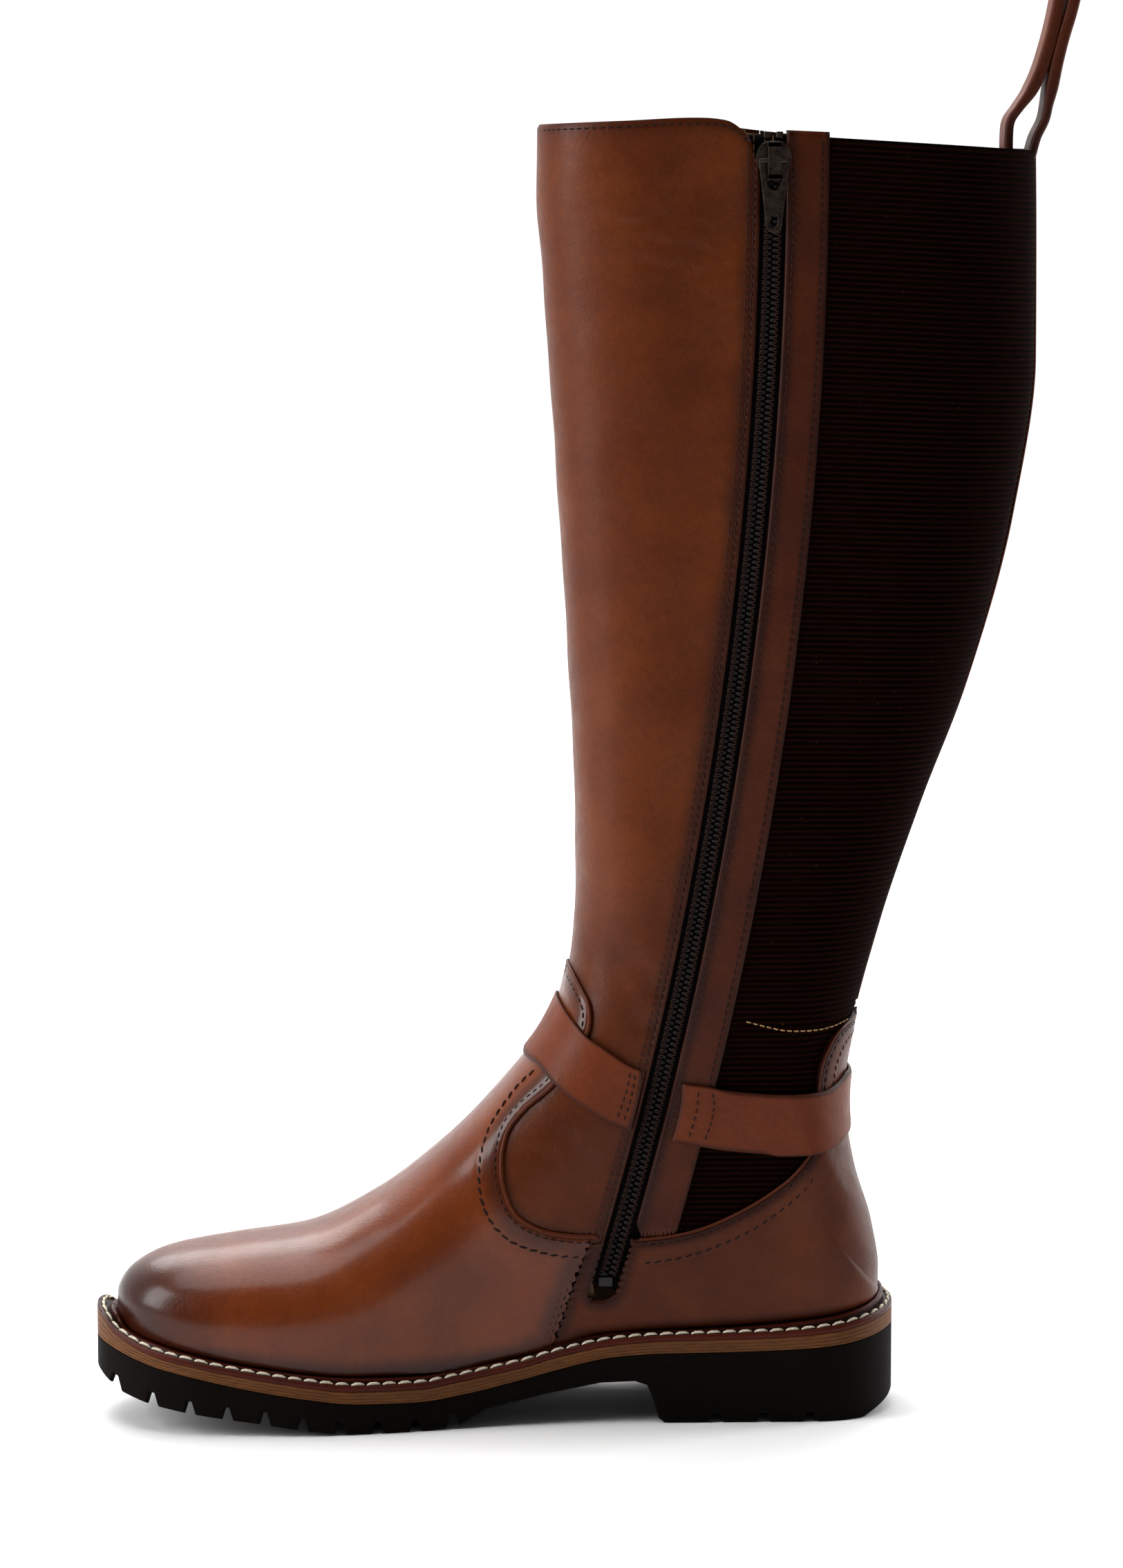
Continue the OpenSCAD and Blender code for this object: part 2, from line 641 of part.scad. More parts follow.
// A plate standing across Y, drawn as an outline of [x, z]
module upright(y0, y1) {
    translate([0, y1, 0])
        rotate([90, 0, 0])
            linear_extrude(height = y1 - y0)
                children();
}
module shield() {
    half = slider_w / 2;
    polygon([[-half * 0.62, slider_l / 2], [half * 0.62, slider_l / 2], [half, slider_l * 0.2],
        [half * 0.92, 0], [half * 0.66, -slider_l / 2], [-half * 0.66, -slider_l / 2],
        [-half * 0.92, 0], [-half, slider_l * 0.2]]);
}
module zip_slider() {
    color([0.28, 0.24, 0.2])
        translate([slider_x, 0, slider_z])
            union() {
                upright(plate_y, plate_back_y)
                    shield();
                upright(tape_y + tape_t + 0.3, tape_y + tape_t + 1.2)
                    square([slider_w * 0.8, slider_l * 0.9], center = true);
                // A thin web between the two rows joins the plates
                translate([-0.12, plate_back_y - 0.2, 0])
                    cube([0.24, tape_y + tape_t + 0.6 - plate_back_y, slider_l * 0.4]);
                // The bridge that the puller hangs from
                difference() {
                    translate([-bridge_w / 2, plate_y - bridge_rise, -slider_l / 2 + 0.5])
                        cube([bridge_w, bridge_rise + 0.2, slider_l - 1]);
                    translate([-bridge_w, plate_y - bridge_rise + bridge_t, -slider_l / 2 + 2])
                        cube([bridge_w * 2, bridge_rise - bridge_t, slider_l - 4]);
                }
            }
}
puller_top_w = 8.8;
puller_tip_w = 4.9;
fork_l = 11;
module zip_puller() {
    arm_in = bridge_w / 2 + 0.35;
    color([0.28, 0.24, 0.2])
        translate([slider_x, 0, slider_z]) {
            translate([0, pivot_y, 0])
                rotate([0, 90, 0])
                    cylinder(r = pivot_r, h = puller_top_w, center = true, $fn = 24);
            upright(pivot_y - 0.6, pivot_y + 0.6)
                difference() {
                    polygon([[-puller_top_w / 2, 0], [puller_top_w / 2, 0], [puller_tip_w / 2, -puller_l],
                        [-puller_tip_w / 2, -puller_l]]);
                    polygon([[-arm_in, 0.5], [arm_in, 0.5], [arm_in - 0.5, -fork_l + 1.5], [0, -fork_l],
                        [-arm_in + 0.5, -fork_l + 1.5]]);
                    translate([-1, -puller_l + 2])
                        square([2, 4]);
                }
        }
}

// ---- ankle strap and buckle ----

strap_gap = 0.7;
// The upper and lower edges of the front strap, as [share of the ray, t] from the crest to the zip
front_strap_high = [[0, 8.7], [0.06, 8.88], [0.13, 9.12], [0.2, 9.46], [0.27, 9.78], [0.335, 10.2]];
front_strap_low = [[0, 7.4], [0.045, 7.62], [0.14, 7.92], [0.22, 8.21], [0.29, 8.51], [0.355, 8.82],
    [0.44, 9.38]];
// Shares of the ray at the strap's corners: the ends stop short of the slider's path
strap_end_high = 0.297;
strap_end_low = 0.405;
outer_end_high = 0.333;
outer_end_low = 0.435;
module ankle_strap_front() {
    // From the zip over the front to the buckle's bar on the outer side, then over the bar
    color([0.5, 0.26, 0.13])
        difference() {
            sheet(strap_front_grid(strap_t), strap_front_grid(0));
            buckle_frame_place()
                translate([-buckle_l * 0.1, -prong_slot / 2, -6])
                    cube([buckle_l * 0.78, prong_slot, 20]);
        }
}
// Buckle: its own axes are X along the strap to the back, Y up across the strap, Z outwards
buckle_x = 61;
buckle_z = 107;
buckle_slope = 9;
module buckle_frame_place() {
    translate([buckle_x, leg_half, buckle_z])
        rotate([0, buckle_slope, 0])
            rotate([-90, 0, 0])
                mirror([0, 1, 0])
                    children();
}
function buckle_place(p) = let (c = cos(buckle_slope), s = sin(buckle_slope))
    [buckle_x + p[0] * c + p[1] * s, leg_half + p[2], buckle_z - p[0] * s + p[1] * c];
bar_x = buckle_l / 2;
bar_z = 0.3 + buckle_bar_r + 0.9 + 0.1;
front_bar_z = strap_gap + strap_t + 0.35 + buckle_bar_r;
strap_half = 10;
tail_l = 36;
tail_low = 2 * strap_gap + strap_t + 0.2;
tail_high = bar_z + buckle_bar_r + 1.25;
// Height of the front strap's inner face above the leather, along the buckle's X axis
tail_rise = [[-40, strap_gap], [-7, strap_gap], [-2, 1.2], [bar_x - 3, tail_high - 0.5], [bar_x, tail_high],
    [bar_x + 3, tail_high - 0.5], [bar_x + 12, tail_low], [60, tail_low]];
// A row of points across a strap, between a place on its lower edge and a place on its upper edge
function strap_row(low_edge, high_edge, side, share_low, share_high, off) = [for (q = [0, 0.25, 0.5, 0.75, 1])
    let (
        s = mix(share_low, share_high, q),
        t = mix(curve(low_edge, share_low), curve(high_edge, share_high), q)
    )
    skin(t, side * around(t, s), off)];
function strap_front_grid(lift) = concat(
    // inner side of the leg, from the zip to the crest
    [for (k = steps(20)) strap_row(front_strap_low, front_strap_high, -1,
        strap_end_low * (1 - k) ^ 1.5 + 0.0001, strap_end_high * (1 - k) ^ 1.5 + 0.0001, strap_gap + lift)],
    // outer side down to where the leg is flat
    [for (k = steps(18)) if (k > 0) strap_row(front_strap_low, front_strap_high, 1,
        outer_end_low * k ^ 1.5, outer_end_high * k ^ 1.5, strap_gap + lift)],
    // through the buckle, in the buckle's own axes
    [for (x = [-7, -5, -3, -1, 1, 3.5, bar_x - 3, bar_x, bar_x + 3, bar_x + 7, bar_x + 12, bar_x + tail_l]) [
        for (y = [-1, -0.5, 0, 0.5, 1])
            buckle_place([x, y * strap_half * (x > bar_x + 20 ? 0.8 : 1), curve(tail_rise, x) + lift])
    ]]
);
// The rear strap's lower and upper edges, as [share of the ray, t]
rear_strap_low = [[0.478, 9.71], [0.555, 10.46], [0.666, 12.16], [0.845, 13.63], [1, 14.66]];
rear_strap_high = [[0.376, 10.5], [0.543, 12.68], [0.723, 13.98], [0.873, 14.77], [0.932, 15.08], [1, 15.5]];
// Matching places on the two edges, from the zip strip to the back
rear_shares_in = [[0.478, 0.376], [0.515, 0.43], [0.555, 0.495], [0.61, 0.58], [0.666, 0.66], [0.74, 0.74],
    [0.8, 0.81], [0.845, 0.86], [0.89, 0.9], [0.93, 0.94], [0.97, 0.975], [1, 1]];
rear_start_out = [0.535, 0.437];
rear_last = len(rear_shares_in) - 1;
function rear_row(side, i, off) =
    let (a = rear_shares_in[floor(i)], b = rear_shares_in[ceil(i)], q = i - floor(i))
    strap_row(rear_strap_low, rear_strap_high, side, mix(a[0], b[0], q), mix(a[1], b[1], q), off);
function rear_grid(off) = concat(
    [for (i = [0 : 0.5 : rear_last]) rear_row(-1, i, off)],
    [for (i = [rear_last - 0.5 : -0.5 : 3]) rear_row(1, i, off)],
    [strap_row(rear_strap_low, rear_strap_high, 1, rear_start_out[0], rear_start_out[1], off)]
);
module ankle_strap_rear() {
    color([0.5, 0.26, 0.13])
        sheet(rear_grid(strap_gap), rear_grid(strap_gap + strap_t));
}
chape_r = buckle_bar_r + 0.05;
module buckle_chape() {
    // The leather tab folded round the buckle's bar, in two arms with room for the prong between
    color([0.45, 0.22, 0.11])
        buckle_frame_place()
            for (s = [-1, 1])
                translate([bar_x, s * (strap_half / 2 + 1) - (strap_half / 2 - 1.2), bar_z])
                    rotate([-90, 0, 0])
                        difference() {
                            cylinder(r = chape_r + 0.85, h = strap_half - 2.4, $fn = 32);
                            translate([0, 0, -1])
                                cylinder(r = chape_r, h = strap_half, $fn = 32);
                        }
}
module bar(a, b, r) {
    d = b - a;
    translate(a)
        rotate([0, acos(d[2] / norm(d)), atan2(d[1], d[0])])
            cylinder(r = r, h = norm(d), $fn = 24);
}
module buckle_frame() {
    half = buckle_in_w / 2 + buckle_bar_r;
    corners = [[bar_x, -half, bar_z], [bar_x, half, bar_z], [-bar_x, half, front_bar_z],
        [-bar_x, -half, front_bar_z]];
    color([0.35, 0.28, 0.2])
        buckle_frame_place()
            union() {
                for (i = [0 : 3])
                    bar(corners[i], corners[(i + 1) % 4], buckle_bar_r);
                for (c = corners)
                    translate(c)
                        sphere(r = buckle_bar_r, $fn = 24);
            }
}
prong_r = 0.8;
module buckle_prong() {
    color([0.35, 0.28, 0.2])
        buckle_frame_place() {
            difference() {
                union() {
                    translate([bar_x, 0, bar_z])
                        rotate([90, 0, 0])
                            cylinder(r = chape_r + 0.8, h = 1.9, center = true, $fn = 32);
                    bar([bar_x - 1.5, 0, bar_z + 0.4],
                        [-bar_x - 0.5, 0, front_bar_z + buckle_bar_r + prong_r + 0.25], prong_r);
                }
                translate([bar_x, 0, bar_z])
                    rotate([90, 0, 0])
                        cylinder(r = chape_r, h = 4, center = true, $fn = 32);
            }
        }
}
keeper_x = bar_x + 16;
keeper_w = 6;
module strap_keeper() {
    wall = 1.3;
    half = strap_half + 1.2;
    top_z = tail_low + strap_t + 0.3;
    color([0.45, 0.22, 0.11])
        buckle_frame_place()
            translate([keeper_x, 0, 0])
                difference() {
                    translate([0, -half - wall, 0.3])
                        cube([keeper_w, 2 * (half + wall), top_z + wall - 0.3]);
                    translate([-1, -half, -1])
                        cube([keeper_w + 2, 2 * half, top_z + 1]);
                }
}

// ---- pull loop ----

// Seen from the side as [x, z]: two legs from inside the back's top edge, meeting below the hinge line
loop_hinge = [179.5, 442.5];
loop_bend_r = 4.6;
anchor_legs = [[170.2, 405], [173.4, 405], [173.2, 428], [174.4, 433.2], [177, 434.6], [178, 432],
    [178.1, 429.5], [180, 429.5], [183.2, 432.5], [185.6, 437.2], [171.4, 437.2], [170, 430]];
loop_outside = [[183.8, 444], [187.3, 452], [191, 461], [194.8, 472], [197.6, 481], [197, 486], [193.5, 488.5],
    [189.5, 487], [187.4, 482], [184.6, 470], [181.6, 458], [178.5, 450], [175.2, 444]];
loop_eye = [[190.2, 466], [192.6, 474], [194.6, 481.4], [193.6, 485], [191.4, 484.4], [190, 480.6],
    [187.8, 471.5], [186.8, 466.5]];
module across(w) {
    translate([0, w / 2, 0])
        rotate([90, 0, 0])
            linear_extrude(height = w)
                children();
}
module pull_loop_anchor() {
    color([0.4, 0.19, 0.1])
        across(loop_w)
            polygon(anchor_legs);
}
module pull_loop() {
    color([0.4, 0.19, 0.1])
        union() {
            across(loop_w)
                difference() {
                    polygon(loop_outside);
                    polygon(loop_eye);
                }
            translate([loop_hinge[0], 0, loop_hinge[1]])
                rotate([90, 0, 0])
                    cylinder(r = loop_bend_r, h = loop_w, center = true);
        }
}

module placed() {
    translate([-middle_x, 0, 0])
        children();
}

placed() outsole();
placed() midsole();
placed() welt();
placed() welt_stitching();
placed() cork_filler();
placed() shank();
placed() insole_board();
placed() footbed();
placed() vamp();
placed() toe_puff();
placed() counter_medial();
placed() counter_lateral();
placed() heel_stiffener_medial();
placed() heel_stiffener_lateral();
placed() shaft_front_panel();
placed() shaft_lateral_panel();
placed() zip_strip();
placed() elastic_panel();
placed() elastic_gusset();
placed() vamp_lining();
placed() shaft_lining_front();
placed() shaft_lining_rear();
placed() zip_guard();
placed() zip_tape_front();
placed() zip_tape_rear();
placed() zip_teeth_front();
placed() zip_teeth_rear();
placed() zip_top_stops();
placed() zip_bottom_stop();
placed() zip_slider();
placed() zip_puller();
placed() ankle_strap_front();
placed() ankle_strap_rear();
placed() strap_keeper();
placed() buckle_chape();
placed() buckle_frame();
placed() buckle_prong();
placed() pull_loop_anchor();
placed() pull_loop();
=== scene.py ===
import math

import bmesh
import bpy
import numpy as np
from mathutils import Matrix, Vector
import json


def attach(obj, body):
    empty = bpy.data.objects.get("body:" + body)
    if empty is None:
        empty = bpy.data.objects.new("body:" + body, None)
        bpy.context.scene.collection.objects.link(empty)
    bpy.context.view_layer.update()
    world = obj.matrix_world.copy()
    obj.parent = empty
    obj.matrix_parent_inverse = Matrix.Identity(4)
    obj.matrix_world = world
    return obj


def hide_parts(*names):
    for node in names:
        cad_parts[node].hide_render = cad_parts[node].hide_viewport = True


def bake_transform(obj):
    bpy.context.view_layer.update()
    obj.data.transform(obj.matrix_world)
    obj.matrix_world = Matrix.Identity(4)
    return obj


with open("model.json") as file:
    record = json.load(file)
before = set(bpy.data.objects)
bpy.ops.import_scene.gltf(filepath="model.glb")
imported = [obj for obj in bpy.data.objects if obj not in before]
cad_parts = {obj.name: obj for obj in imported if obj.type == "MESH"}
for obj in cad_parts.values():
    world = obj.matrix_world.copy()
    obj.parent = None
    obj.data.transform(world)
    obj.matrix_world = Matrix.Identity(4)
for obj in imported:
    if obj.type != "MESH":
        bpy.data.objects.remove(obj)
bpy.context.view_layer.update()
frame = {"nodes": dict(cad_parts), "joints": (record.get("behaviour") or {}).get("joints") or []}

ZIP = next(j for j in frame["joints"] if j["name"] == "zip_travel")
ZIP_R = 1310.0
SLIDER_X = 91.5
SLIDER_Z = ZIP["pos_m"][2] * 1000
MIDDLE = SLIDER_X - ZIP_R - ZIP["pos_m"][0] * 1000
ZIP_X = SLIDER_X - ZIP_R

# ---------------------------------------------------------------- surface of the upper

ROUND_N = 2.3
TOE_X, HEEL_X = -128.5, 131.6
TOE_CAP, HEEL_CAP = 42.0, 32.0
TIP_REACH = 1.45
LEG = 33.0
HEEL_T = 11.0
# Half-width of the foot along its length, as (x, y)
INNER_SIDE = [(-130, -36), (-115, -39.5), (-95, -41.5), (-65, -43), (-40, -40), (0, -32), (40, -28.5),
              (90, -28.5), (140, -29)]
OUTER_SIDE = [(-130, 22), (-115, 27), (-95, 36), (-65, 43.5), (-35, 46), (0, 43), (40, 35), (70, 31.5),
              (90, 30.5), (140, 29)]
FOOT_AXIS = [(-130, -8), (-95, -6), (-65, -3), (-20, 0), (140, 0)]
# Rays across the upper: t, front x, front z, back x, back z, crest y, front rounding, back rounding
RAYS = np.array([
    (0, -128.5, 42, -128.5, 36.8, -8, 0.75, 0.25), (0.25, -128.1, 43.6, -128.1, 36, -8, 0.75, 0.25),
    (0.5, -127, 46, -127, 34.4, -7.8, 0.75, 0.25), (1, -123, 50.4, -122.5, 31.6, -7.5, 0.75, 0.25),
    (2, -112, 55.5, -112, 29, -7, 0.75, 0.25), (3, -90, 59, -92, 24.9, -5.5, 0.75, 0.25),
    (4, -64, 62.4, -70, 21.4, -4, 0.72, 0.25), (5, -40, 73.6, -46, 19, -2.5, 0.7, 0.24),
    (6, -16, 92.3, -20, 18.9, -1, 0.62, 0.22), (7, 4, 113, 8, 23.3, 0, 0.5, 0.2),
    (8, 17, 130, 38, 30.8, 0, 0.42, 0.13), (9, 23.5, 144, 70, 32.1, 0, 0.34, 0.2),
    (10, 26.5, 157, 104, 34.8, 0, 0.31, 0.22), (10.5, 27, 163.5, 121, 37, 0, 0.3, 0.23),
    (10.8, 27.2, 167, 129, 39, 0, 0.3, 0.24), (11, 27.3, 169, 131.5, 41, 0, 0.3, 0.25),
    (12, 27.6, 175, 131.6, 48, 0, 0.3, 0.26), (13, 27.8, 182, 129, 64, 0, 0.3, 0.27),
    (14, 27.9, 190, 123, 84, 0, 0.3, 0.28), (15, 27.8, 200, 119.8, 107, 0, 0.3, 0.28),
    (16, 27.4, 214, 122, 130, 0, 0.3, 0.28), (17, 26.6, 232, 131, 166, 0, 0.3, 0.28),
    (18, 25.2, 257, 145, 208, 0, 0.29, 0.28), (19, 23, 292, 160, 248, 0, 0.28, 0.28),
    (20, 20, 337, 175, 304, 0, 0.27, 0.28), (21, 17, 382, 182.3, 357, 0, 0.26, 0.28),
    (22, 14.8, 412, 182, 400, 0, 0.26, 0.28), (23, 15, 435, 181.5, 428, 0, 0.26, 0.28)], float)


# Line of the upper's top edge: height at its front, and its fall towards the back
TOP_X, TOP_Z, TOP_FALL, TOP_REACH = 15, 435, 7, 166.5


class Curve:
    """A curve through points that never swings past them."""

    def __init__(self, points):
        p = np.array(points, float)
        self.x, self.y = p[:, 0], p[:, 1]
        self.h = np.diff(self.x)
        d = np.diff(self.y) / self.h
        m = np.zeros(len(self.x))
        m[0], m[-1] = d[0], d[-1]
        a, b = d[:-1], d[1:]
        same = a * b > 0
        m[1:-1][same] = 2 * a[same] * b[same] / (a[same] + b[same])
        self.m = m

    def __call__(self, x):
        x = np.asarray(x, float)
        i = np.clip(np.searchsorted(self.x, x, side="right") - 1, 0, len(self.h) - 1)
        h = self.h[i]
        q = (x - self.x[i]) / h
        y = (2 * q**3 - 3 * q**2 + 1) * self.y[i] + (q**3 - 2 * q**2 + q) * h * self.m[i]
        y = y + (3 * q**2 - 2 * q**3) * self.y[i + 1] + (q**3 - q**2) * h * self.m[i + 1]
        return np.where(x <= self.x[0], self.y[0], y)


inner_side, outer_side, foot_axis = Curve(INNER_SIDE), Curve(OUTER_SIDE), Curve(FOOT_AXIS)
front_x, front_z, back_x, back_z, crest_y, front_round, back_round = [
    Curve(RAYS[:, [0, c]]) for c in range(1, 8)]


def smooth(q):
    q = np.clip(q, 0, 1)
    return q * q * (3 - 2 * q)


def round_end(q):
    q = np.clip(q, 0, 1)
    return (1 - (1 - q) ** ROUND_N) ** (1 / ROUND_N)


def edge_y(x, side, extra):
    """Sideways place of the foot's edge, moved outwards by extra."""
    c = foot_axis(x)
    full = np.where(side < 0, inner_side(x), outer_side(x)) + side * extra
    tip = TOE_X - extra * np.where(np.asarray(extra) > 0, TIP_REACH, 1.0)
    ends = round_end((x - tip) / TOE_CAP) * round_end((HEEL_X + extra - x) / HEEL_CAP)
    return c + (full - c) * ends


def turning(t):
    a, b = front_round(t), back_round(t)
    k = 1 + 0.57 * (a + b)
    return a, b, a * 1.57 / k, 1 - b * 1.57 / k


def along(t, u):
    """Share of the ray, from its front end to its back end, for a place u round the section."""
    a, b, ua, ub = turning(t)
    s1 = a * (1 - np.clip(np.cos(np.pi / 2 * np.clip(u / ua, 0, 1)), 0, 1) ** (2 / ROUND_N))
    s2 = a + (u - ua) / (ub - ua) * (1 - a - b)
    s3 = 1 - b * (1 - np.clip(np.cos(np.pi / 2 * np.clip((1 - u) / (1 - ub), 0, 1)), 0, 1) ** (2 / ROUND_N))
    return np.where(u < ua, s1, np.where(u <= ub, s2, s3))


def around(t, s):
    """Place u round the section for a share of the ray."""
    a, b, ua, ub = turning(t)
    u1 = ua * np.arccos(np.clip(1 - np.clip(s / a, 0, 1), 0, 1) ** (ROUND_N / 2)) * 2 / np.pi
    u2 = ua + (s - a) / (1 - a - b) * (ub - ua)
    u3 = 1 - (1 - ub) * np.arccos(np.clip(1 - np.clip((1 - s) / b, 0, 1), 0, 1) ** (ROUND_N / 2)) * 2 / np.pi
    return np.where(s < a, u1, np.where(s <= 1 - b, u2, u3))


def skin(t, u, off=0.0):
    """Points of the upper's surface. u past 1 goes on round the back to the inner side."""
    t, u, off = np.broadcast_arrays(*(np.asarray(v, float) for v in (t, u, off)))
    u = np.where(u > 1, u - 2, u)
    side = np.where(u < 0, -1.0, 1.0)
    s = along(t, np.abs(u))
    a, b = front_round(t), back_round(t)
    fx, fz, bx, bz = front_x(t), front_z(t), back_x(t), back_z(t)
    length = np.hypot(bx - fx, bz - fz)
    dx, dz = (bx - fx) / length, (bz - fz) / length
    f0 = np.where(fx < 0, fx * (1 + off / 130), fx - dx * off)
    f1 = fz - dz * off
    q = smooth((t - 10.5) / 1.5)
    e0 = bx * (1 + off / 130) * (1 - q) + (bx + dx * off) * q
    e1 = bz + dz * off * q
    rise = (1 - (1 - np.clip(s / a, 0, 1)) ** ROUND_N) ** (1 / ROUND_N)
    fall = 1 - (1 - np.clip((s - 1 + b) / b, 0, 1) ** ROUND_N) ** (1 / ROUND_N)
    foot = edge_y(e0, side, off)
    low = np.where(t < HEEL_T, foot, 0)
    w = np.where(t >= 8, 1, smooth((t - 5) / 3))
    wide = foot * 1.03 * (1 - w) + side * (LEG + off) * w
    y = crest_y(t) * (1 - rise) + rise * (wide * (1 - fall) + low * fall)
    return np.stack([f0 + s * (e0 - f0), y, f1 + s * (e1 - f1)], -1)


def unit(v):
    return v / np.maximum(np.linalg.norm(v, axis=-1, keepdims=True), 1e-9)


def skin_normal(t, u):
    """Outward direction of the surface, from small steps to either side."""
    e = 0.004
    a = skin(t + e, u) - skin(np.maximum(t - e, 0.01), u)
    b = skin(t, np.clip(u + e, -1, 2)) - skin(t, np.clip(u - e, -1, 2))
    n = unit(np.cross(a, b))
    out = skin(t, u, 1.0) - skin(t, u)
    return n * np.where((n * out).sum(-1, keepdims=True) < 0, -1.0, 1.0)


def zip_share(t, r):
    """Share of the ray where it crosses the circle r round the zip's far centre."""
    f = np.stack([front_x(t) - ZIP_X, front_z(t) - SLIDER_Z], -1)
    d = np.stack([back_x(t) - ZIP_X, back_z(t) - SLIDER_Z], -1) - f
    a, b, c = (d * d).sum(-1), 2 * (f * d).sum(-1), (f * f).sum(-1) - r * r
    return np.minimum(1, (-b + np.sqrt(b * b - 4 * a * c)) / (2 * a))


def zip_u(t, r):
    return around(t, zip_share(t, r))


RAY_T = np.linspace(0.02, 23.3, 3500)


def place(x, z):
    """(t, u) of points seen from the side, u without its sign."""
    x, z = np.atleast_1d(x)[:, None], np.atleast_1d(z)[:, None]
    fx, fz, bx, bz = front_x(RAY_T), front_z(RAY_T), back_x(RAY_T), back_z(RAY_T)
    length = np.hypot(bx - fx, bz - fz)
    miss = ((bx - fx) * (z - fz) - (bz - fz) * (x - fx)) / length
    share = ((x - fx) * (bx - fx) + (z - fz) * (bz - fz)) / length**2
    cost = np.abs(miss) + 1e3 * ((share < -0.2) | (share > 1.2))
    i = cost.argmin(1)
    rows = np.arange(len(i))
    return RAY_T[i], around(RAY_T[i], np.clip(share[rows, i], 0, 1))


def spline(points, step):
    """A smooth line through points, with a point at about every step."""
    p = np.array(points, float)
    p = np.vstack([2 * p[0] - p[1], p, 2 * p[-1] - p[-2]])
    fine = []
    q = np.linspace(0, 1, 24, endpoint=False)[:, None]
    for a, b, c, d in zip(p, p[1:], p[2:], p[3:]):
        fine.append(0.5 * (2 * b + (c - a) * q + (2 * a - 5 * b + 4 * c - d) * q**2
                           + (3 * b - 3 * c + d - a) * q**3))
    return even(np.vstack([*fine, p[-2:-1]]), step)


def even(line, step):
    length = np.concatenate([[0], np.cumsum(np.linalg.norm(np.diff(line, axis=0), axis=1))])
    at = np.linspace(0, length[-1], max(2, int(length[-1] / step) + 1))
    return np.stack([np.interp(at, length, line[:, k]) for k in range(line.shape[1])], -1)


def trace(points, side=-1, step=0.6, smoothed=True):
    """Points and normals on the surface along a line given as (x, z) from the side."""
    line = spline(points, step) if smoothed else even(np.array(points, float), step)
    t, u = place(line[:, 0], line[:, 1])
    return skin(t, side * u), skin_normal(t, side * u)


def zip_line(r, z0, z1, step=0.6):
    """(x, z) points along the zip, r behind its middle line."""
    z = np.linspace(z0, z1, max(2, int(abs(z1 - z0) / step)))
    return np.stack([ZIP_X + np.sqrt((ZIP_R + r) ** 2 - (z - SLIDER_Z) ** 2), z], -1)


# ---------------------------------------------------------------- edges and lines

ZIP_GAP = 4.3
STRIP_W = 14.2
STRIP_EDGE = ZIP_R + ZIP_GAP + STRIP_W
COUNTER_EDGE = Curve([(7.2, 0.66), (7.6, 0.67), (8.2, 0.695), (8.63, 0.702), (9.13, 0.716), (9.6, 0.712),
                      (10.7, 0.672), (11.53, 0.689), (13.5, 0.823), (14.77, 0.873), (15.23, 0.886),
                      (15.81, 0.925), (16.2, 1), (24, 1)])
# Height added along the top edge, which isn't straight, as (x, z)
TOP_FRONT = Curve([(10, 0), (42, 2.6), (70, 4.7), (76, 4.2), (80, 2.2), (84, -2.2), (86.5, -8), (120, -8)])
TOP_OUTER = Curve([(10, 0), (42, 2.6), (66, 3.6), (90, 2), (120, 0), (170, -0.6), (190, -0.6)])


def top_z(x):
    """Height of the straight line that the top edge follows."""
    return TOP_Z - (x - TOP_X) * TOP_FALL / TOP_REACH


TOP_DEPTH = 26.0


def on_top(points, shape):
    """Bends the top edge to its shape."""
    ray = top_z(points[..., 0])
    w = smooth(1 - (ray - points[..., 2]) / TOP_DEPTH)
    points[..., 2] += w * shape(points[..., 0])
    return points


def creases(p):
    """Fine folds of the leather: each is (x, z, x, z, depth, width)."""
    lines = [(20, 408, 50, 402, 0.16, 1.3), (30, 400, 66, 407, 0.2, 1.2), (44, 398, 78, 393, 0.2, 1.4),
             (56, 404, 84, 399, 0.16, 1.1), (36, 391, 70, 388, 0.14, 1.4), (60, 386, 82, 389, 0.16, 1.0),
             (24, 381, 48, 385, 0.12, 1.6), (66, 379, 84, 375, 0.14, 1.1), (70, 412, 83, 408, 0.12, 0.9),
             (50, 152, 62, 141, 0.4, 3.2), (36, 160, 60, 150, 0.3, 4), (42, 139, 58, 133, 0.3, 3),
             (14, 101, 30, 96, 0.3, 2.0), (22, 97, 36, 88, 0.35, 2.6), (10, 92, 24, 92, 0.25, 1.8),
             (24, 88, 38, 84, 0.3, 1.6), (20, 81, 34, 78, 0.25, 1.8), (12, 84, 20, 80, 0.2, 1.6),
             (-6, 62, 8, 52, 0.22, 1.6), (-2, 66, 12, 58, 0.2, 1.4), (34, 112, 44, 104, 0.3, 2.4)]
    out = np.zeros(p.shape[:-1])
    for x0, z0, x1, z1, depth, width in lines:
        d = np.array([x1 - x0, z1 - z0], float)
        length = np.linalg.norm(d)
        d /= length
        a = (p[..., 0] - x0) * d[0] + (p[..., 2] - z0) * d[1]
        b = (p[..., 2] - z0) * d[0] - (p[..., 0] - x0) * d[1] + 0.6 * np.sin(a * 0.5 + x0)
        reach = smooth(a / (length * 0.3)) * smooth((length - a) / (length * 0.3))
        out -= depth * reach * (np.exp(-((b / width) ** 2))
                                - 0.5 * np.exp(-(((b - 1.7 * width) / width) ** 2)))
    return out


def swell(p):
    """Slow unevenness of soft leather."""
    x, y, z = p[..., 0], p[..., 1], p[..., 2]
    return (0.16 * np.sin(x * 0.11 + z * 0.05 + 1) * np.sin(z * 0.071 + y * 0.06)
            + 0.07 * np.sin(x * 0.23 - z * 0.19))


# ---------------------------------------------------------------- meshes

def to_frame(p):
    """Metres in the frame from millimetres on the drawing."""
    return (np.asarray(p, float) - [MIDDLE, 0, 0]) * 0.001


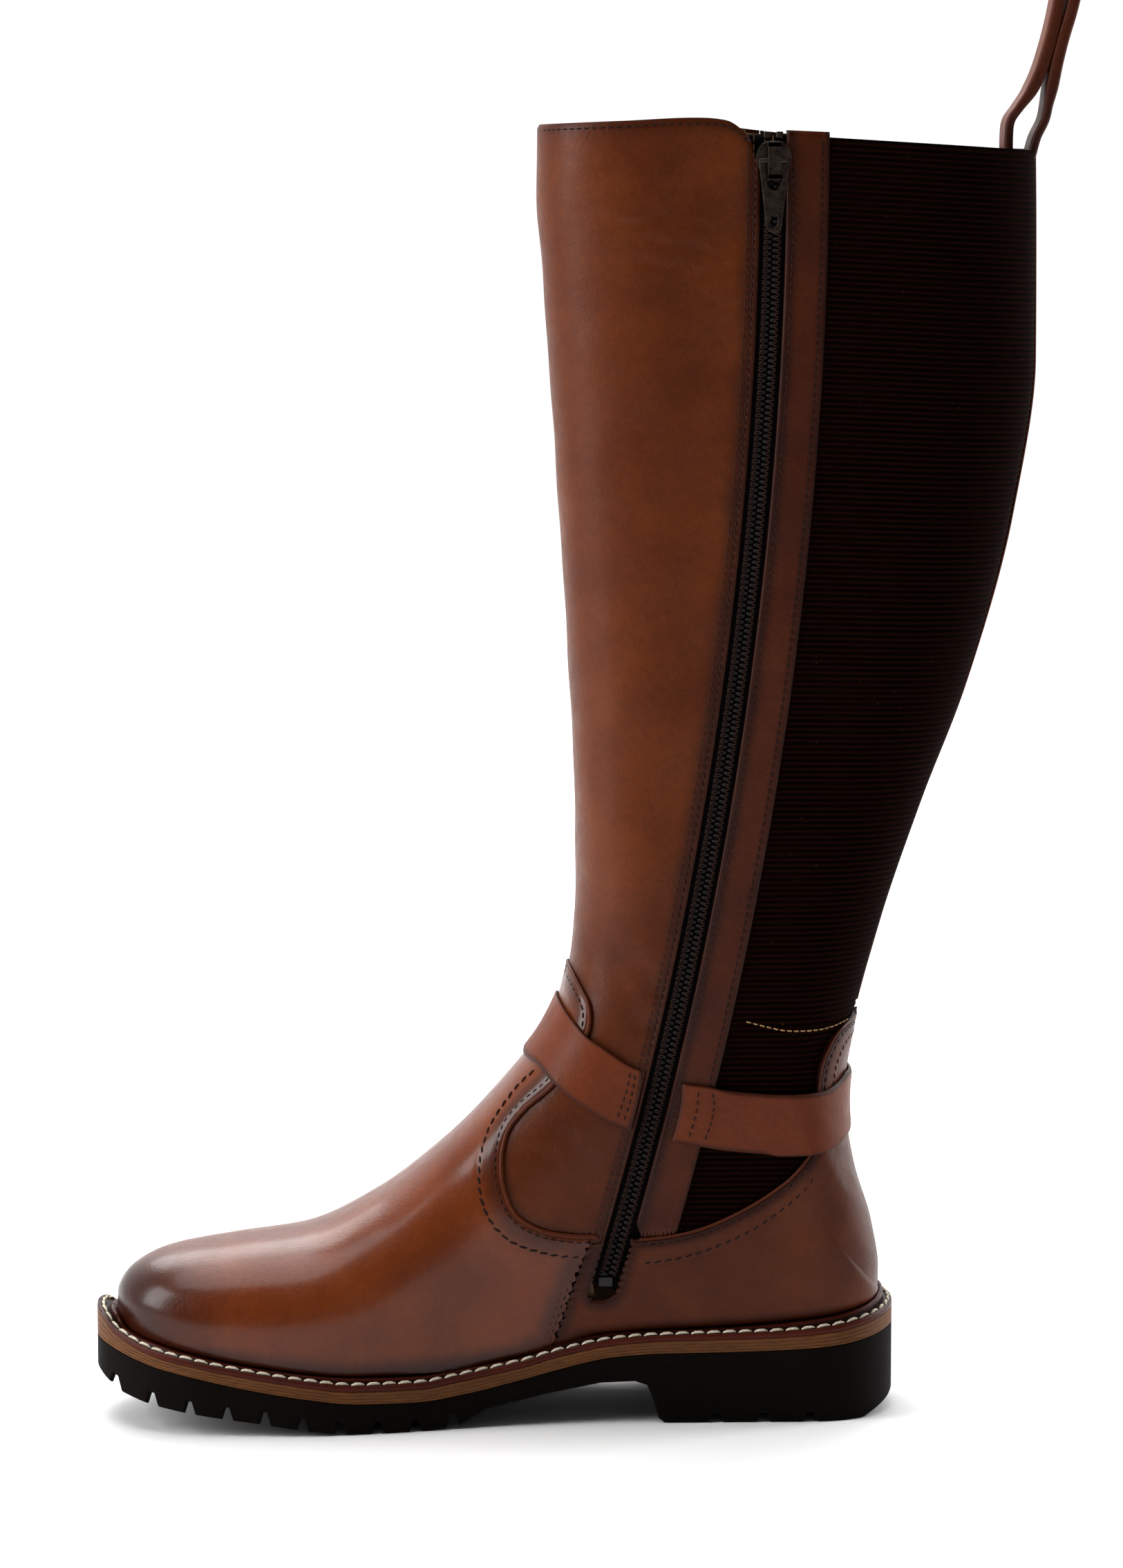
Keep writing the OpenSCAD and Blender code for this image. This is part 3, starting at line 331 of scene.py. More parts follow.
def make(name, points, faces, material, body="boot", nodes=(), attributes=None, angle=None, recalc=True,
         bevel=0.0):
    """A mesh piece from drawing points in millimetres."""
    mesh = bpy.data.meshes.new(name)
    mesh.from_pydata(to_frame(points).tolist(), [], [list(f) for f in faces])
    for key, values in (attributes or {}).items():
        mesh.attributes.new(key, "FLOAT", "POINT").data.foreach_set("value",
                                                                    np.asarray(values, np.float32).ravel())
    if recalc:
        bm = bmesh.new()
        bm.from_mesh(mesh)
        bmesh.ops.recalc_face_normals(bm, faces=bm.faces)
        bm.to_mesh(mesh)
        bm.free()
    mesh.polygons.foreach_set("use_smooth", [True] * len(mesh.polygons))
    if angle:
        mesh.set_sharp_from_angle(angle=math.radians(angle))
    piece = bpy.data.objects.new(name, mesh)
    bpy.context.scene.collection.objects.link(piece)
    mesh.materials.append(material)
    if bevel:
        mod = piece.modifiers.new("bevel", "BEVEL")
        mod.width = bevel * 0.001
        mod.segments = 3
        mod.limit_method = "ANGLE"
        mod.harden_normals = True
    if body:
        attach(piece, body)
    if nodes:
        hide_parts(*nodes)
    return piece


def grid_faces(rows, cols):
    i, j = np.meshgrid(np.arange(rows - 1), np.arange(cols - 1), indexing="ij")
    a = (i * cols + j).ravel()
    return np.stack([a, a + 1, a + cols + 1, a + cols], -1)


def closed(outer, inner, keep=None):
    """Vertices and faces of a sheet between two grids of points, cut to the vertices kept."""
    rows, cols = outer.shape[:2]
    faces = grid_faces(rows, cols)
    if keep is not None:
        faces = faces[keep.ravel()[faces].all(1)]
    count = rows * cols
    a, b = faces.ravel(), np.roll(faces, -1, axis=1).ravel()
    lone = ~np.isin(a * count + b, b * count + a)
    a, b = a[lone], b[lone]
    walls = np.stack([b, a, a + count, b + count], -1)
    faces = np.vstack([faces, faces[:, ::-1] + count, walls])
    points = np.vstack([outer.reshape(-1, 3), inner.reshape(-1, 3)])
    used = np.zeros(2 * count, bool)
    used[faces.ravel()] = True
    number = np.cumsum(used) - 1
    return points[used], number[faces], used


def even_rows(t0, t1, u, step):
    """Values of t whose rows lie about a step apart, measured along u."""
    t = np.linspace(t0, t1, 800)
    p = skin(t, u)
    length = np.concatenate([[0], np.cumsum(np.linalg.norm(np.diff(p, axis=0), axis=1))])
    return np.interp(np.linspace(0, length[-1], int(length[-1] / step) + 2), length, t)


def border(width, step, left=True, right=True):
    """Places across a width, closer together near its borders."""
    near = [0, 0.35, 0.7, 1.1, 1.5, 1.9, 2.3, 2.7, 3.1, 3.5, 3.9, 4.3, 4.7, 5.2, 6, 7]
    start, end = (7 if left else 0), width - (7 if right else 0)
    middle = np.linspace(start, end, max(3, int((end - start) / step)))
    parts = [near[:-1] if left else [], middle, [width - v for v in reversed(near[:-1])] if right else []]
    return np.concatenate(parts) / width


def net(rows, left, right, shares):
    """Places (T, U) with columns at shares of the length between two edges, and the distances in
    millimetres to those edges."""
    rows = np.asarray(rows, float)
    q = np.linspace(0, 1, 240)
    lo, hi = left(rows)[:, None], right(rows)[:, None]
    u = lo + (hi - lo) * q
    p = skin(rows[:, None] + 0 * u, u)
    length = np.concatenate([np.zeros((len(rows), 1)),
                             np.cumsum(np.linalg.norm(np.diff(p, axis=1), axis=2), axis=1)], 1)
    total = length[:, -1:]
    places = np.stack([np.interp(shares * w, row, uu) for w, row, uu in zip(total[:, 0], length, u)])
    return rows[:, None] + 0 * places, places, shares * total, (1 - shares) * total


def distance(points, line):
    """Distance from each point to a line of points, and the nearest place on it."""
    flat = points.reshape(-1, 3)
    best = np.full(len(flat), 1e9)
    near = np.zeros_like(flat)
    a, b = line[:-1], line[1:]
    d = b - a
    dd = np.maximum((d * d).sum(1), 1e-12)
    for i in range(0, len(flat), 4000):
        block = flat[i:i + 4000]
        q = np.clip(((block[:, None] - a) * d).sum(2) / dd, 0, 1)
        at = a + q[..., None] * d
        far = np.linalg.norm(block[:, None] - at, axis=2)
        k = far.argmin(1)
        rows = np.arange(len(block))
        best[i:i + 4000] = far[rows, k]
        near[i:i + 4000] = at[rows, k]
    return best.reshape(points.shape[:-1]), near.reshape(points.shape)


def cut(points, inside, lines, cell):
    """Moves the points nearest the outlines onto them. Returns points, kept and the distance inside."""
    gap = np.full(points.shape[:-1], 1e9)
    near = np.zeros_like(points)
    for line in lines:
        d, at = distance(points, line)
        closer = d < gap
        gap = np.where(closer, d, gap)
        near = np.where(closer[..., None], at, near)
    snapped = gap < 0.56 * cell
    points = np.where(snapped[..., None], near, points)
    return points, inside | snapped, np.where(snapped, 0, gap)


def rolled(d, depth=0.7, radius=0.9):
    """How far a folded edge falls below the sheet at a distance from it."""
    q = 1 - np.clip(d / radius, 0, 1)
    return -depth * (1 - np.sqrt(np.clip(1 - q * q, 0, 1)))


def groove(d, at, depth=0.16, width=0.5):
    """A pressed line at a distance from an edge."""
    return -depth * np.exp(-(((d - at) / width) ** 2))


def tube(path, normals, wide, high, sides=12, ends=True, shut=False):
    """A swept oval. Its wide axis lies across the path and the surface normal."""
    n = len(path)
    step = np.roll(path, -1, 0) - np.roll(path, 1, 0) if shut else np.gradient(path, axis=0)
    tangent = unit(step)
    across = unit(np.cross(tangent, normals))
    up = unit(np.cross(across, tangent))
    angle = np.linspace(0, 2 * np.pi, sides, endpoint=False)
    wide, high = np.broadcast_to(wide, n)[:, None, None], np.broadcast_to(high, n)[:, None, None]
    ring = (across[:, None] * (np.cos(angle)[None, :, None] * wide)
            + up[:, None] * (np.sin(angle)[None, :, None] * high))
    points = (path[:, None] + ring).reshape(-1, 3)
    return loops(points, n, sides, ends and not shut, shut)


def loops(points, n, sides, ends=True, shut=False):
    """Faces of n rings of points."""
    faces = []
    for i in range(n if shut else n - 1):
        a, b = i * sides, (i + 1) % n * sides
        faces += [[a + k, a + (k + 1) % sides, b + (k + 1) % sides, b + k] for k in range(sides)]
    if ends:
        faces += [list(range(sides))[::-1], list(range((n - 1) * sides, n * sides))]
    return points, faces


def joined(parts):
    """One list of points and faces from several."""
    points, faces, start = [], [], 0
    for p, f in parts:
        points.append(p)
        faces += [[start + k for k in g] for g in f]
        start += len(p)
    return np.vstack(points), faces


STITCH_RINGS = [(-0.5, 0.15, -0.9), (-0.42, 0.75, -0.2), (-0.2, 1, 0.5), (0.2, 1, 0.5), (0.42, 0.75, -0.2),
                (0.5, 0.15, -0.9)]
STITCH_SIDES = 6


def stitches(name, lines, pitch, length, radius, material, slot="leather_dark", lift=0.0, slant=0.0,
             skip=None):
    """A row of thread stitches along each line of (points, normals)."""
    parts = []
    angle = np.linspace(0, 2 * np.pi, STITCH_SIDES, endpoint=False)
    for points, normals in lines:
        run = np.concatenate([[0], np.cumsum(np.linalg.norm(np.diff(points, axis=0), axis=1))])
        count = max(1, int(run[-1] / pitch))
        at = (np.arange(count) + 0.5) * run[-1] / count
        at = at if skip is None else at[[not skip(v) for v in at]]
        mid = np.stack([np.interp(at, run, points[:, k]) for k in range(3)], -1)
        up = unit(np.stack([np.interp(at, run, normals[:, k]) for k in range(3)], -1))
        ahead = np.stack([np.interp(at + 0.3, run, points[:, k]) for k in range(3)], -1)
        behind = np.stack([np.interp(at - 0.3, run, points[:, k]) for k in range(3)], -1)
        tangent = unit(ahead - behind)
        across = unit(np.cross(up, tangent))
        turn = slant * np.where(np.arange(len(at)) % 2, 1.0, 0.85)[:, None]
        tangent = unit(tangent + across * turn)
        across = unit(np.cross(up, tangent))
        for m, t, c, n in zip(mid, tangent, across, up):
            rings = [m + t * a * length + n * (lift + radius * h)
                     + (np.cos(angle)[:, None] * c + np.sin(angle)[:, None] * n) * radius * w
                     for a, w, h in STITCH_RINGS]
            parts.append(loops(np.vstack(rings), len(STITCH_RINGS), STITCH_SIDES))
    points, faces = joined(parts)
    return make(name, points, faces, material)


# ---------------------------------------------------------------- materials

class Nodes:
    """Short calls for building a material's nodes."""

    def __init__(self, name):
        self.material = bpy.data.materials.new(name)
        self.material.use_nodes = True
        self.tree = self.material.node_tree
        self.shader = self.tree.nodes["Principled BSDF"]
        self.object = self.tree.nodes.new("ShaderNodeTexCoord").outputs["Object"]

    def link(self, value, socket):
        if isinstance(value, bpy.types.NodeSocket):
            self.tree.links.new(value, socket)
        elif value is not None:
            socket.default_value = value

    def noise(self, scale, detail=4, rough=0.6, vector=None):
        n = self.tree.nodes.new("ShaderNodeTexNoise")
        n.inputs["Scale"].default_value = scale
        n.inputs["Detail"].default_value = detail
        n.inputs["Roughness"].default_value = rough
        self.tree.links.new(vector or self.object, n.inputs["Vector"])
        return n.outputs["Fac"]

    def cells(self, scale, feature="F1", vector=None):
        n = self.tree.nodes.new("ShaderNodeTexVoronoi")
        n.feature = feature
        n.inputs["Scale"].default_value = scale
        self.tree.links.new(vector or self.object, n.inputs["Vector"])
        return n.outputs["Distance"]

    def stretched(self, scale):
        n = self.tree.nodes.new("ShaderNodeMapping")
        n.inputs["Scale"].default_value = scale
        self.tree.links.new(self.object, n.inputs["Vector"])
        return n.outputs["Vector"]

    def math(self, kind, a, b=None, clamp=False):
        n = self.tree.nodes.new("ShaderNodeMath")
        n.operation = kind
        n.use_clamp = clamp
        self.link(a, n.inputs[0])
        self.link(b, n.inputs[1])
        return n.outputs[0]

    def ramp(self, value, low, high, out_low=0.0, out_high=1.0):
        n = self.tree.nodes.new("ShaderNodeMapRange")
        n.interpolation_type = "SMOOTHSTEP"
        self.link(value, n.inputs["Value"])
        for key, v in (("From Min", low), ("From Max", high), ("To Min", out_low), ("To Max", out_high)):
            n.inputs[key].default_value = v
        return n.outputs["Result"]

    def mix(self, factor, a, b):
        n = self.tree.nodes.new("ShaderNodeMix")
        n.data_type = "RGBA"
        self.link(factor, n.inputs["Factor"])
        self.link((*a, 1) if isinstance(a, tuple) else a, n.inputs["A"])
        self.link((*b, 1) if isinstance(b, tuple) else b, n.inputs["B"])
        return n.outputs["Result"]

    def attribute(self, name):
        n = self.tree.nodes.new("ShaderNodeAttribute")
        n.attribute_name = name
        return n.outputs["Fac"]

    def bump(self, height, strength, distance, normal=None):
        n = self.tree.nodes.new("ShaderNodeBump")
        n.inputs["Strength"].default_value = strength
        n.inputs["Distance"].default_value = distance
        self.link(height, n.inputs["Height"])
        if normal is not None:
            self.link(normal, n.inputs["Normal"])
        return n.outputs["Normal"]

    def finish(self, colour, rough, normal=None, metallic=0.0, specular=0.5, coat=0.0, coat_rough=0.2,
               sheen=0.0):
        s = self.shader.inputs
        self.link((*colour, 1) if isinstance(colour, tuple) else colour, s["Base Color"])
        self.link(rough, s["Roughness"])
        if normal is not None:
            self.link(normal, s["Normal"])
        s["Metallic"].default_value = metallic
        s["Specular IOR Level"].default_value = specular
        s["Coat Weight"].default_value = coat
        s["Coat Roughness"].default_value = coat_rough
        s["Sheen Weight"].default_value = sheen
        return self.material


def leather(name, light, mid, dark, rough=0.42, coat=0.03, grain=1.0, coat_rough=0.32):
    """Aniline leather: pebbled grain, uneven dye, and burnish where the darkening attribute is high; on the
    shaft's front panel that attribute is also lowered towards the front as painted light.
    """
    n = Nodes(name)
    cloud = n.ramp(n.noise(26, 5, 0.62), 0.3, 0.72)
    fleck = n.ramp(n.noise(420, 3, 0.6), 0.35, 0.7)
    tone = n.mix(cloud, mid, light)
    tone = n.mix(n.math("MULTIPLY", fleck, 0.16), tone, dark)
    burnish_and_painted_light = n.math("ADD", n.attribute("burnish_and_painted_light"),
                  n.math("MULTIPLY", n.math("SUBTRACT", n.noise(60, 4), 0.5), 0.35))
    colour = n.mix(n.ramp(burnish_and_painted_light, 0.06, 0.95), tone, dark)
    pebble = n.cells(950)
    fine = n.noise(1500, 3, 0.65)
    pores = n.ramp(n.noise(700, 2, 0.5), 0.3, 0.42)
    height = n.math("ADD", n.math("MULTIPLY", pebble, 0.7), n.math("MULTIPLY", fine, 0.5))
    height = n.math("ADD", height, n.math("MULTIPLY", pores, 0.25))
    broad = n.bump(n.noise(75, 3, 0.55), 0.14, 0.0012)
    normal = n.bump(height, 0.24 * grain, 0.00035, broad)
    gloss = n.ramp(n.noise(160, 4, 0.6), 0.25, 0.75, rough - 0.05, rough + 0.08)
    return n.finish(colour, gloss, normal, specular=0.13, coat=coat, coat_rough=coat_rough)


def thread(name, colour, dark):
    n = Nodes(name)
    twist = n.noise(1400, 3, 0.7)
    tone = n.mix(n.ramp(twist, 0.3, 0.7), dark, colour)
    return n.finish(tone, 0.7, n.bump(twist, 0.5, 0.0002), specular=0.12)


def plain(name, colour, dark, rough, scale, depth=0.0003, strength=0.3, metallic=0.0, specular=0.5, coat=0.0,
          stretch=None, sheen=0.0):
    """A finish with fine-scale colour and relief from one noise."""
    n = Nodes(name)
    grit = n.noise(scale, 4, 0.65, n.stretched(stretch) if stretch else None)
    broad = n.noise(scale * 0.08, 3)
    tone = n.mix(n.ramp(grit, 0.3, 0.7), dark, colour)
    tone = n.mix(n.math("MULTIPLY", n.ramp(broad, 0.35, 0.75), 0.35), tone, dark)
    gloss = n.ramp(grit, 0.25, 0.75, rough - 0.05, rough + 0.08)
    return n.finish(tone, gloss, n.bump(grit, strength, depth), metallic, specular, coat, sheen=sheen)


def ribbed():
    """Woven elastic: the ribs are in the mesh, and the warp threads between them are here. Its colour carries
    painted shade: dark in the rib valleys, light on the crests.
    """
    n = Nodes("elastic_weave")
    across = n.math("SINE", n.math("MULTIPLY", n.attribute("across"), 2 * math.pi / 0.95))
    level = n.math("SINE", n.math("MULTIPLY", n.attribute("level"), 2 * math.pi / 0.95))
    knots = n.math("MULTIPLY", across, level)
    fluff = n.noise(900, 4, 0.7)
    height = n.math("ADD", n.math("MULTIPLY", knots, 0.5), fluff)
    # Painted shade and highlight: the ribs' relief darkens the valleys and lightens the crests; the warp
    # threads' light and dark is part weave, part painted shade.
    painted_rib_shade = n.ramp(n.math("ADD", n.attribute("rib"), n.math("MULTIPLY", across, 0.35)), -0.4, 1.3)
    tone = n.mix(painted_rib_shade, (0.0016, 0.0004, 0.0002), (0.0135, 0.0030, 0.0014))
    tone = n.mix(n.math("MULTIPLY", n.ramp(n.noise(55, 3), 0.35, 0.8), 0.4), tone, (0.0065, 0.0016, 0.0009))
    specks = n.ramp(n.noise(1100, 1, 0.4), 0.79, 0.83)
    tone = n.mix(n.math("MULTIPLY", specks, 0.6), tone, (0.09, 0.045, 0.03))
    return n.finish(tone, 0.9, n.bump(height, 0.55, 0.0003), specular=0.015)


LEATHER = leather("leather_cognac", (0.128, 0.027, 0.0035), (0.086, 0.0155, 0.0018), (0.02, 0.0030, 0.0009))
LEATHER_FOOT = leather("leather_cognac_foot", (0.165, 0.034, 0.0055), (0.11, 0.0195, 0.0028),
                       (0.02, 0.0030, 0.0009), rough=0.34, coat=0.3, coat_rough=0.2)
LEATHER_STRAP = leather("leather_strap", (0.14, 0.029, 0.0075), (0.108, 0.0205, 0.005),
                        (0.02, 0.0035, 0.0015), rough=0.46, coat=0.02)
LEATHER_EDGE = leather("leather_edge", (0.11, 0.021, 0.003), (0.07, 0.0115, 0.0018), (0.012, 0.0018, 0.0009),
                       rough=0.4)
LINING = leather("leather_lining", (0.2, 0.115, 0.06), (0.16, 0.088, 0.044), (0.1, 0.05, 0.025), rough=0.6,
                 coat=0.0, grain=0.7)
WELT = leather("leather_welt", (0.08, 0.009, 0.002), (0.05, 0.0055, 0.0014), (0.014, 0.002, 0.001),
               rough=0.42, coat=0.02)
THREAD_DARK = thread("thread_dark", (0.022, 0.008, 0.006), (0.006, 0.0025, 0.0022))
THREAD_ZIP = thread("thread_zip", (0.05, 0.017, 0.01), (0.02, 0.007, 0.005))
THREAD_TAN = thread("thread_tan", (0.42, 0.25, 0.12), (0.25, 0.13, 0.06))
THREAD_CREAM = thread("thread_cream", (0.8, 0.72, 0.58), (0.5, 0.42, 0.3))
ELASTIC = ribbed()
RUBBER = plain("rubber_black", (0.004, 0.0022, 0.0014), (0.0018, 0.001, 0.0007), 0.7, 900, strength=0.5,
               specular=0.05)
MIDSOLE = plain("midsole_layers", (0.15, 0.055, 0.014), (0.08, 0.026, 0.006), 0.62, 260, strength=0.35,
                specular=0.2, stretch=(0.6, 0.6, 9))
TAPE = plain("zip_tape", (0.005, 0.003, 0.0028), (0.002, 0.0014, 0.0014), 0.85, 1300, strength=0.6,
             specular=0.1)
COIL = plain("zip_coil", (0.007, 0.0035, 0.003), (0.003, 0.0016, 0.0014), 0.4, 1200, strength=0.2,
             specular=0.3)
BRONZE = plain("bronze_dark", (0.07, 0.05, 0.038), (0.03, 0.021, 0.017), 0.3, 420, strength=0.2, metallic=0.9)
CORK = plain("cork", (0.42, 0.27, 0.15), (0.2, 0.11, 0.06), 0.85, 500, strength=0.6)
STEEL = plain("steel", (0.5, 0.5, 0.52), (0.34, 0.34, 0.36), 0.32, 900, metallic=1.0, stretch=(0.2, 6, 6))
BOARD = plain("fibre_board", (0.38, 0.29, 0.19), (0.26, 0.19, 0.12), 0.8, 800)
STIFF = plain("stiffener_fibre", (0.6, 0.57, 0.5), (0.48, 0.45, 0.39), 0.75, 700)
GUARD = leather("leather_guard", (0.09, 0.035, 0.018), (0.06, 0.022, 0.011), (0.03, 0.01, 0.006), rough=0.55,
                coat=0.0)
# ---------------------------------------------------------------- upper

THICK = 1.8
# Edges of the vamp and the counter seen from the side, and the seam between them
VAMP_LINE = spline([(20, 158.5), (24.1, 154.4), (26.7, 150.7), (29.2, 146.4), (31.3, 142.2), (31.8, 137.5),
                    (30.6, 132.3), (25.5, 123.5), (18.8, 114.5), (10.3, 106.8), (4.6, 99.7), (2.1, 91.7),
                    (2.3, 82.1), (6, 72.6), (13.9, 67), (23.7, 64.8), (34, 64.3)], 0.5)
VAMP_SEAM = spline([(31.5, 62), (28.5, 55), (23.7, 41.1), (19.7, 29), (14, 10)], 0.5)
COUNTER_LINE = spline([(38, 62.5), (47.2, 63.2), (60.1, 64.6), (71.7, 67.8), (84.6, 73.9), (94.3, 80.2),
                       (101, 86), (106.4, 94), (108.2, 104), (108.4, 113.7), (109.8, 122.4), (113.8, 130.6),
                       (118.4, 134.4), (124, 136)], 0.5)
# What each covers, seen from the side, closed well past the boot's ends
VAMP_AREA = np.vstack([VAMP_LINE, VAMP_SEAM, [(-200, 0), (-200, 158.5)]])
COUNTER_AREA = np.vstack([VAMP_SEAM[::-1], [(32.5, 62.3)], COUNTER_LINE, [(160, 136), (160, 0)]])


def within(p, outline):
    """Whether points lie inside an outline, both seen from the side."""
    x, z = p[..., 0], p[..., 2]
    inside = np.zeros(x.shape, bool)
    for (x0, z0), (x1, z1) in zip(outline, np.roll(outline, -1, 0)):
        if z0 != z1:
            inside ^= ((z0 > z) != (z1 > z)) & (x < (x1 - x0) * (z - z0) / (z1 - z0) + x0)
    return inside


def fade(d, width, peak=1.0):
    """A value that falls from its peak to nothing over a width."""
    return peak * (1 - smooth(d / width))


def sheet_piece(name, p, n, out, thick, keep, material, nodes, burnish_and_painted_light):
    """A leather panel from its places and normals, moved outwards by out."""
    outer, inner = p + n * out[..., None], p + n * (np.minimum(out, 0.2) - thick)[..., None]
    points, faces, used = closed(outer, inner, keep)
    attr = np.concatenate([burnish_and_painted_light.ravel(), burnish_and_painted_light.ravel()])[used]
    return make(name, points, faces, material, nodes=nodes, attributes={"burnish_and_painted_light": attr}, angle=50)


def vamp_piece():
    rows = np.concatenate([(np.arange(14) / 14) ** 2, even_rows(1, 9.7, 0.0, 1.15)])
    t, u, left, right = net(rows, lambda v: -1 + 0 * v, lambda v: 1 + 0 * v, np.linspace(0, 1, 231))
    p, n = skin(t, u), skin_normal(t, u)
    lines = [trace(line, side, 0.5, False)[0] for side in (-1, 1) for line in (VAMP_LINE[3:], VAMP_SEAM)]
    inside = within(p, VAMP_AREA)
    q, keep, gap = cut(p, inside, lines, 1.1)
    out = (0.9 * (1 - smooth(gap / 25)) + rolled(gap) + groove(gap, 8.3, 0.12, 0.7)
           + groove(gap, 1.9, 0.22, 0.45))
    out = out + creases(p) * (u < 0) * 0.8 + 0.5 * swell(p) * smooth(left / 8) * smooth(right / 8)
    low = np.minimum(left, right)
    burnish_and_painted_light = 0.8 * smooth((-70 - p[..., 0]) / 55) * (1 - 0.6 * smooth((low - 18) / 30))
    burnish_and_painted_light = np.maximum(burnish_and_painted_light, fade(low, 10, 0.75))
    burnish_and_painted_light = np.maximum(burnish_and_painted_light, fade(np.abs(gap - 3), 9, 0.62))
    burnish_and_painted_light = np.maximum(burnish_and_painted_light, 0.45 * smooth((p[..., 2] - 118) / 30))
    return sheet_piece("vamp", q, n, out, THICK, keep, LEATHER_FOOT, ["vamp"], burnish_and_painted_light)


vamp_piece()


def mouth_z(r):
    """Height of the zip opening's round lower end, r across the zip."""
    return 42.5 + 2.5 * (np.abs(r) / ZIP_GAP) ** 4


def counter_piece(side):
    name = "counter_medial" if side < 0 else "counter_lateral"
    rows = even_rows(7.1, 16.3, side * 0.98, 0.9)
    rows = np.unique(np.concatenate([np.linspace(7.1, 11.5, 90), rows[rows > 11.5]]))
    far = lambda v: side * around(v, 0.57 + 0 * v)
    edge = lambda v: side + 0 * v
    t, u, d0, d1 = net(rows, edge if side < 0 else far, far if side < 0 else edge, np.linspace(0, 1, 100))
    p, n = skin(t, u), skin_normal(t, u)
    inside = within(p, COUNTER_AREA)
    lines = [trace(COUNTER_LINE, side, 0.5, False)[0], trace(VAMP_SEAM, side, 0.5, False)[0]]
    if side < 0:
        r = np.hypot(p[..., 0] - ZIP_X, p[..., 2] - SLIDER_Z) - ZIP_R
        low = mouth_z(r)
        inside &= ~((np.abs(r) < ZIP_GAP) & (p[..., 2] > low))
        lines.append(trace(zip_mouth(), -1, 0.6, False)[0])
    q, keep, gap = cut(p, inside, lines, 0.95)
    out = 0.9 * (1 - smooth(gap / 20)) + rolled(gap) + groove(gap, 9, 0.12, 0.6) + groove(gap, 1.8, 0.2, 0.45)
    out = out + creases(p) * (u < 0) * 0.5 + 0.5 * swell(p)
    bottom = np.where(t < HEEL_T, d0 if side < 0 else d1, 99)
    burnish_and_painted_light = np.maximum(0.42 + 0 * t, fade(bottom, 12, 0.8))
    burnish_and_painted_light = np.maximum(burnish_and_painted_light, fade(gap, 9, 0.85))
    return sheet_piece(name, q, n, out, THICK, keep, LEATHER, [name], burnish_and_painted_light)


def zip_mouth():
    """The round lower end of the zip's opening, seen from the side."""
    a, b = zip_line(-ZIP_GAP, 110, 46, 0.8), zip_line(ZIP_GAP, 46, 110, 0.8)
    r = np.linspace(-ZIP_GAP, ZIP_GAP, 26)[1:-1]
    z = mouth_z(r)
    x = ZIP_X + np.sqrt((ZIP_R + r) ** 2 - (z - SLIDER_Z) ** 2)
    return np.vstack([a, np.stack([x, z], -1), b])


for each in (-1, 1):
    counter_piece(each)


def zip_burn(p):
    """Darker leather beside the zip."""
    r = np.hypot(p[..., 0] - ZIP_X, p[..., 2] - SLIDER_Z) - ZIP_R
    return fade(np.abs(r) - ZIP_GAP, 12, 0.72)


def low_burn(p):
    """Darker leather towards the ankle."""
    return 0.5 * smooth((255 - p[..., 2]) / 130)


def front_panel():
    rows = even_rows(6.5, 23, -0.3, 1.5)
    left, right = lambda v: -zip_u(v, ZIP_R - ZIP_GAP), lambda v: zip_u(v, ZIP_R)
    t, u, dl, dr = net(rows, left, right, border(225, 1.7))
    p, n = skin(t, u), skin_normal(t, u)
    lines = [trace(VAMP_LINE, side, 1.0, False)[0] for side in (-1, 1)]
    gap = distance(p, np.vstack(lines))[0]
    gap = np.where(within(p, VAMP_AREA), gap, -gap)
    under = np.where(p[..., 2] < 52, 20, gap) / 14
    keep = under < 1.1
    out = -1.4 * smooth(under * 14 / 3) + rolled(dl, 0.5, 0.8) + 0.28 * np.exp(-((dl - 1.1) / 0.8) ** 2)
    out = out + groove(dl, 2.2, 0.22, 0.45) + rolled(dr, 0.4, 0.6)
    out = out + (creases(p) * (u < 0) + 1.3 * swell(p)) * smooth(dl / 6)
    top = top_z(p[..., 0]) - p[..., 2]
    out = out + rolled(top, 0.7, 1.0)
    side_top = np.where(u[..., None] < 0, on_top(p.copy(), TOP_FRONT), on_top(p.copy(), TOP_OUTER))
    burnish_and_painted_light = zip_burn(p) * (u < 0)
    burnish_and_painted_light = np.maximum(burnish_and_painted_light, fade(top, 9, 0.55))
    # Painted light: the darkening towards the ankle is lowered towards the shaft's front (x below about 60),
    # painting that side lighter as if light fell on it.
    burnish_and_painted_light = np.maximum(burnish_and_painted_light, low_burn(p) - 0.12 * smooth((60 - p[..., 0]) / 30))
    burnish_and_painted_light = np.maximum(burnish_and_painted_light, fade(dr, 8, 0.5))
    burnish_and_painted_light = np.maximum(burnish_and_painted_light, fade(-under * 14, 9, 0.6))
    return sheet_piece("shaft_front", side_top, n, out, THICK, keep, LEATHER,
                       ["shaft_front_panel"], burnish_and_painted_light)


def outer_panel():
    rows = even_rows(8.2, 23, 0.8, 1.7)
    left, right = lambda v: zip_u(v, ZIP_R + 0.3), lambda v: 1.0 + 0 * v
    t, u, dl, dr = net(rows, left, right, border(110, 1.7))
    p, n = skin(t, u), skin_normal(t, u)
    under = (along(t, u) - COUNTER_EDGE(t)) * 60
    keep = (t > 16.3) | (under < 12)
    out = np.where(t < 16.25, -1.4 * smooth(under / 3), 0) + rolled(dl, 0.4, 0.6) + rolled(dr, 0.4, 0.6)
    out = out + 1.3 * swell(p)
    top = top_z(p[..., 0]) - p[..., 2]
    out = out + rolled(top, 0.7, 1.0)
    burnish_and_painted_light = np.maximum(fade(top, 9, 0.55), fade(np.minimum(dl, dr), 8, 0.5))
    burnish_and_painted_light = np.maximum(burnish_and_painted_light, low_burn(p))
    return sheet_piece("shaft_outer", on_top(p, TOP_OUTER), n, out, THICK, keep, LEATHER,
                       ["shaft_lateral_panel"], burnish_and_painted_light)


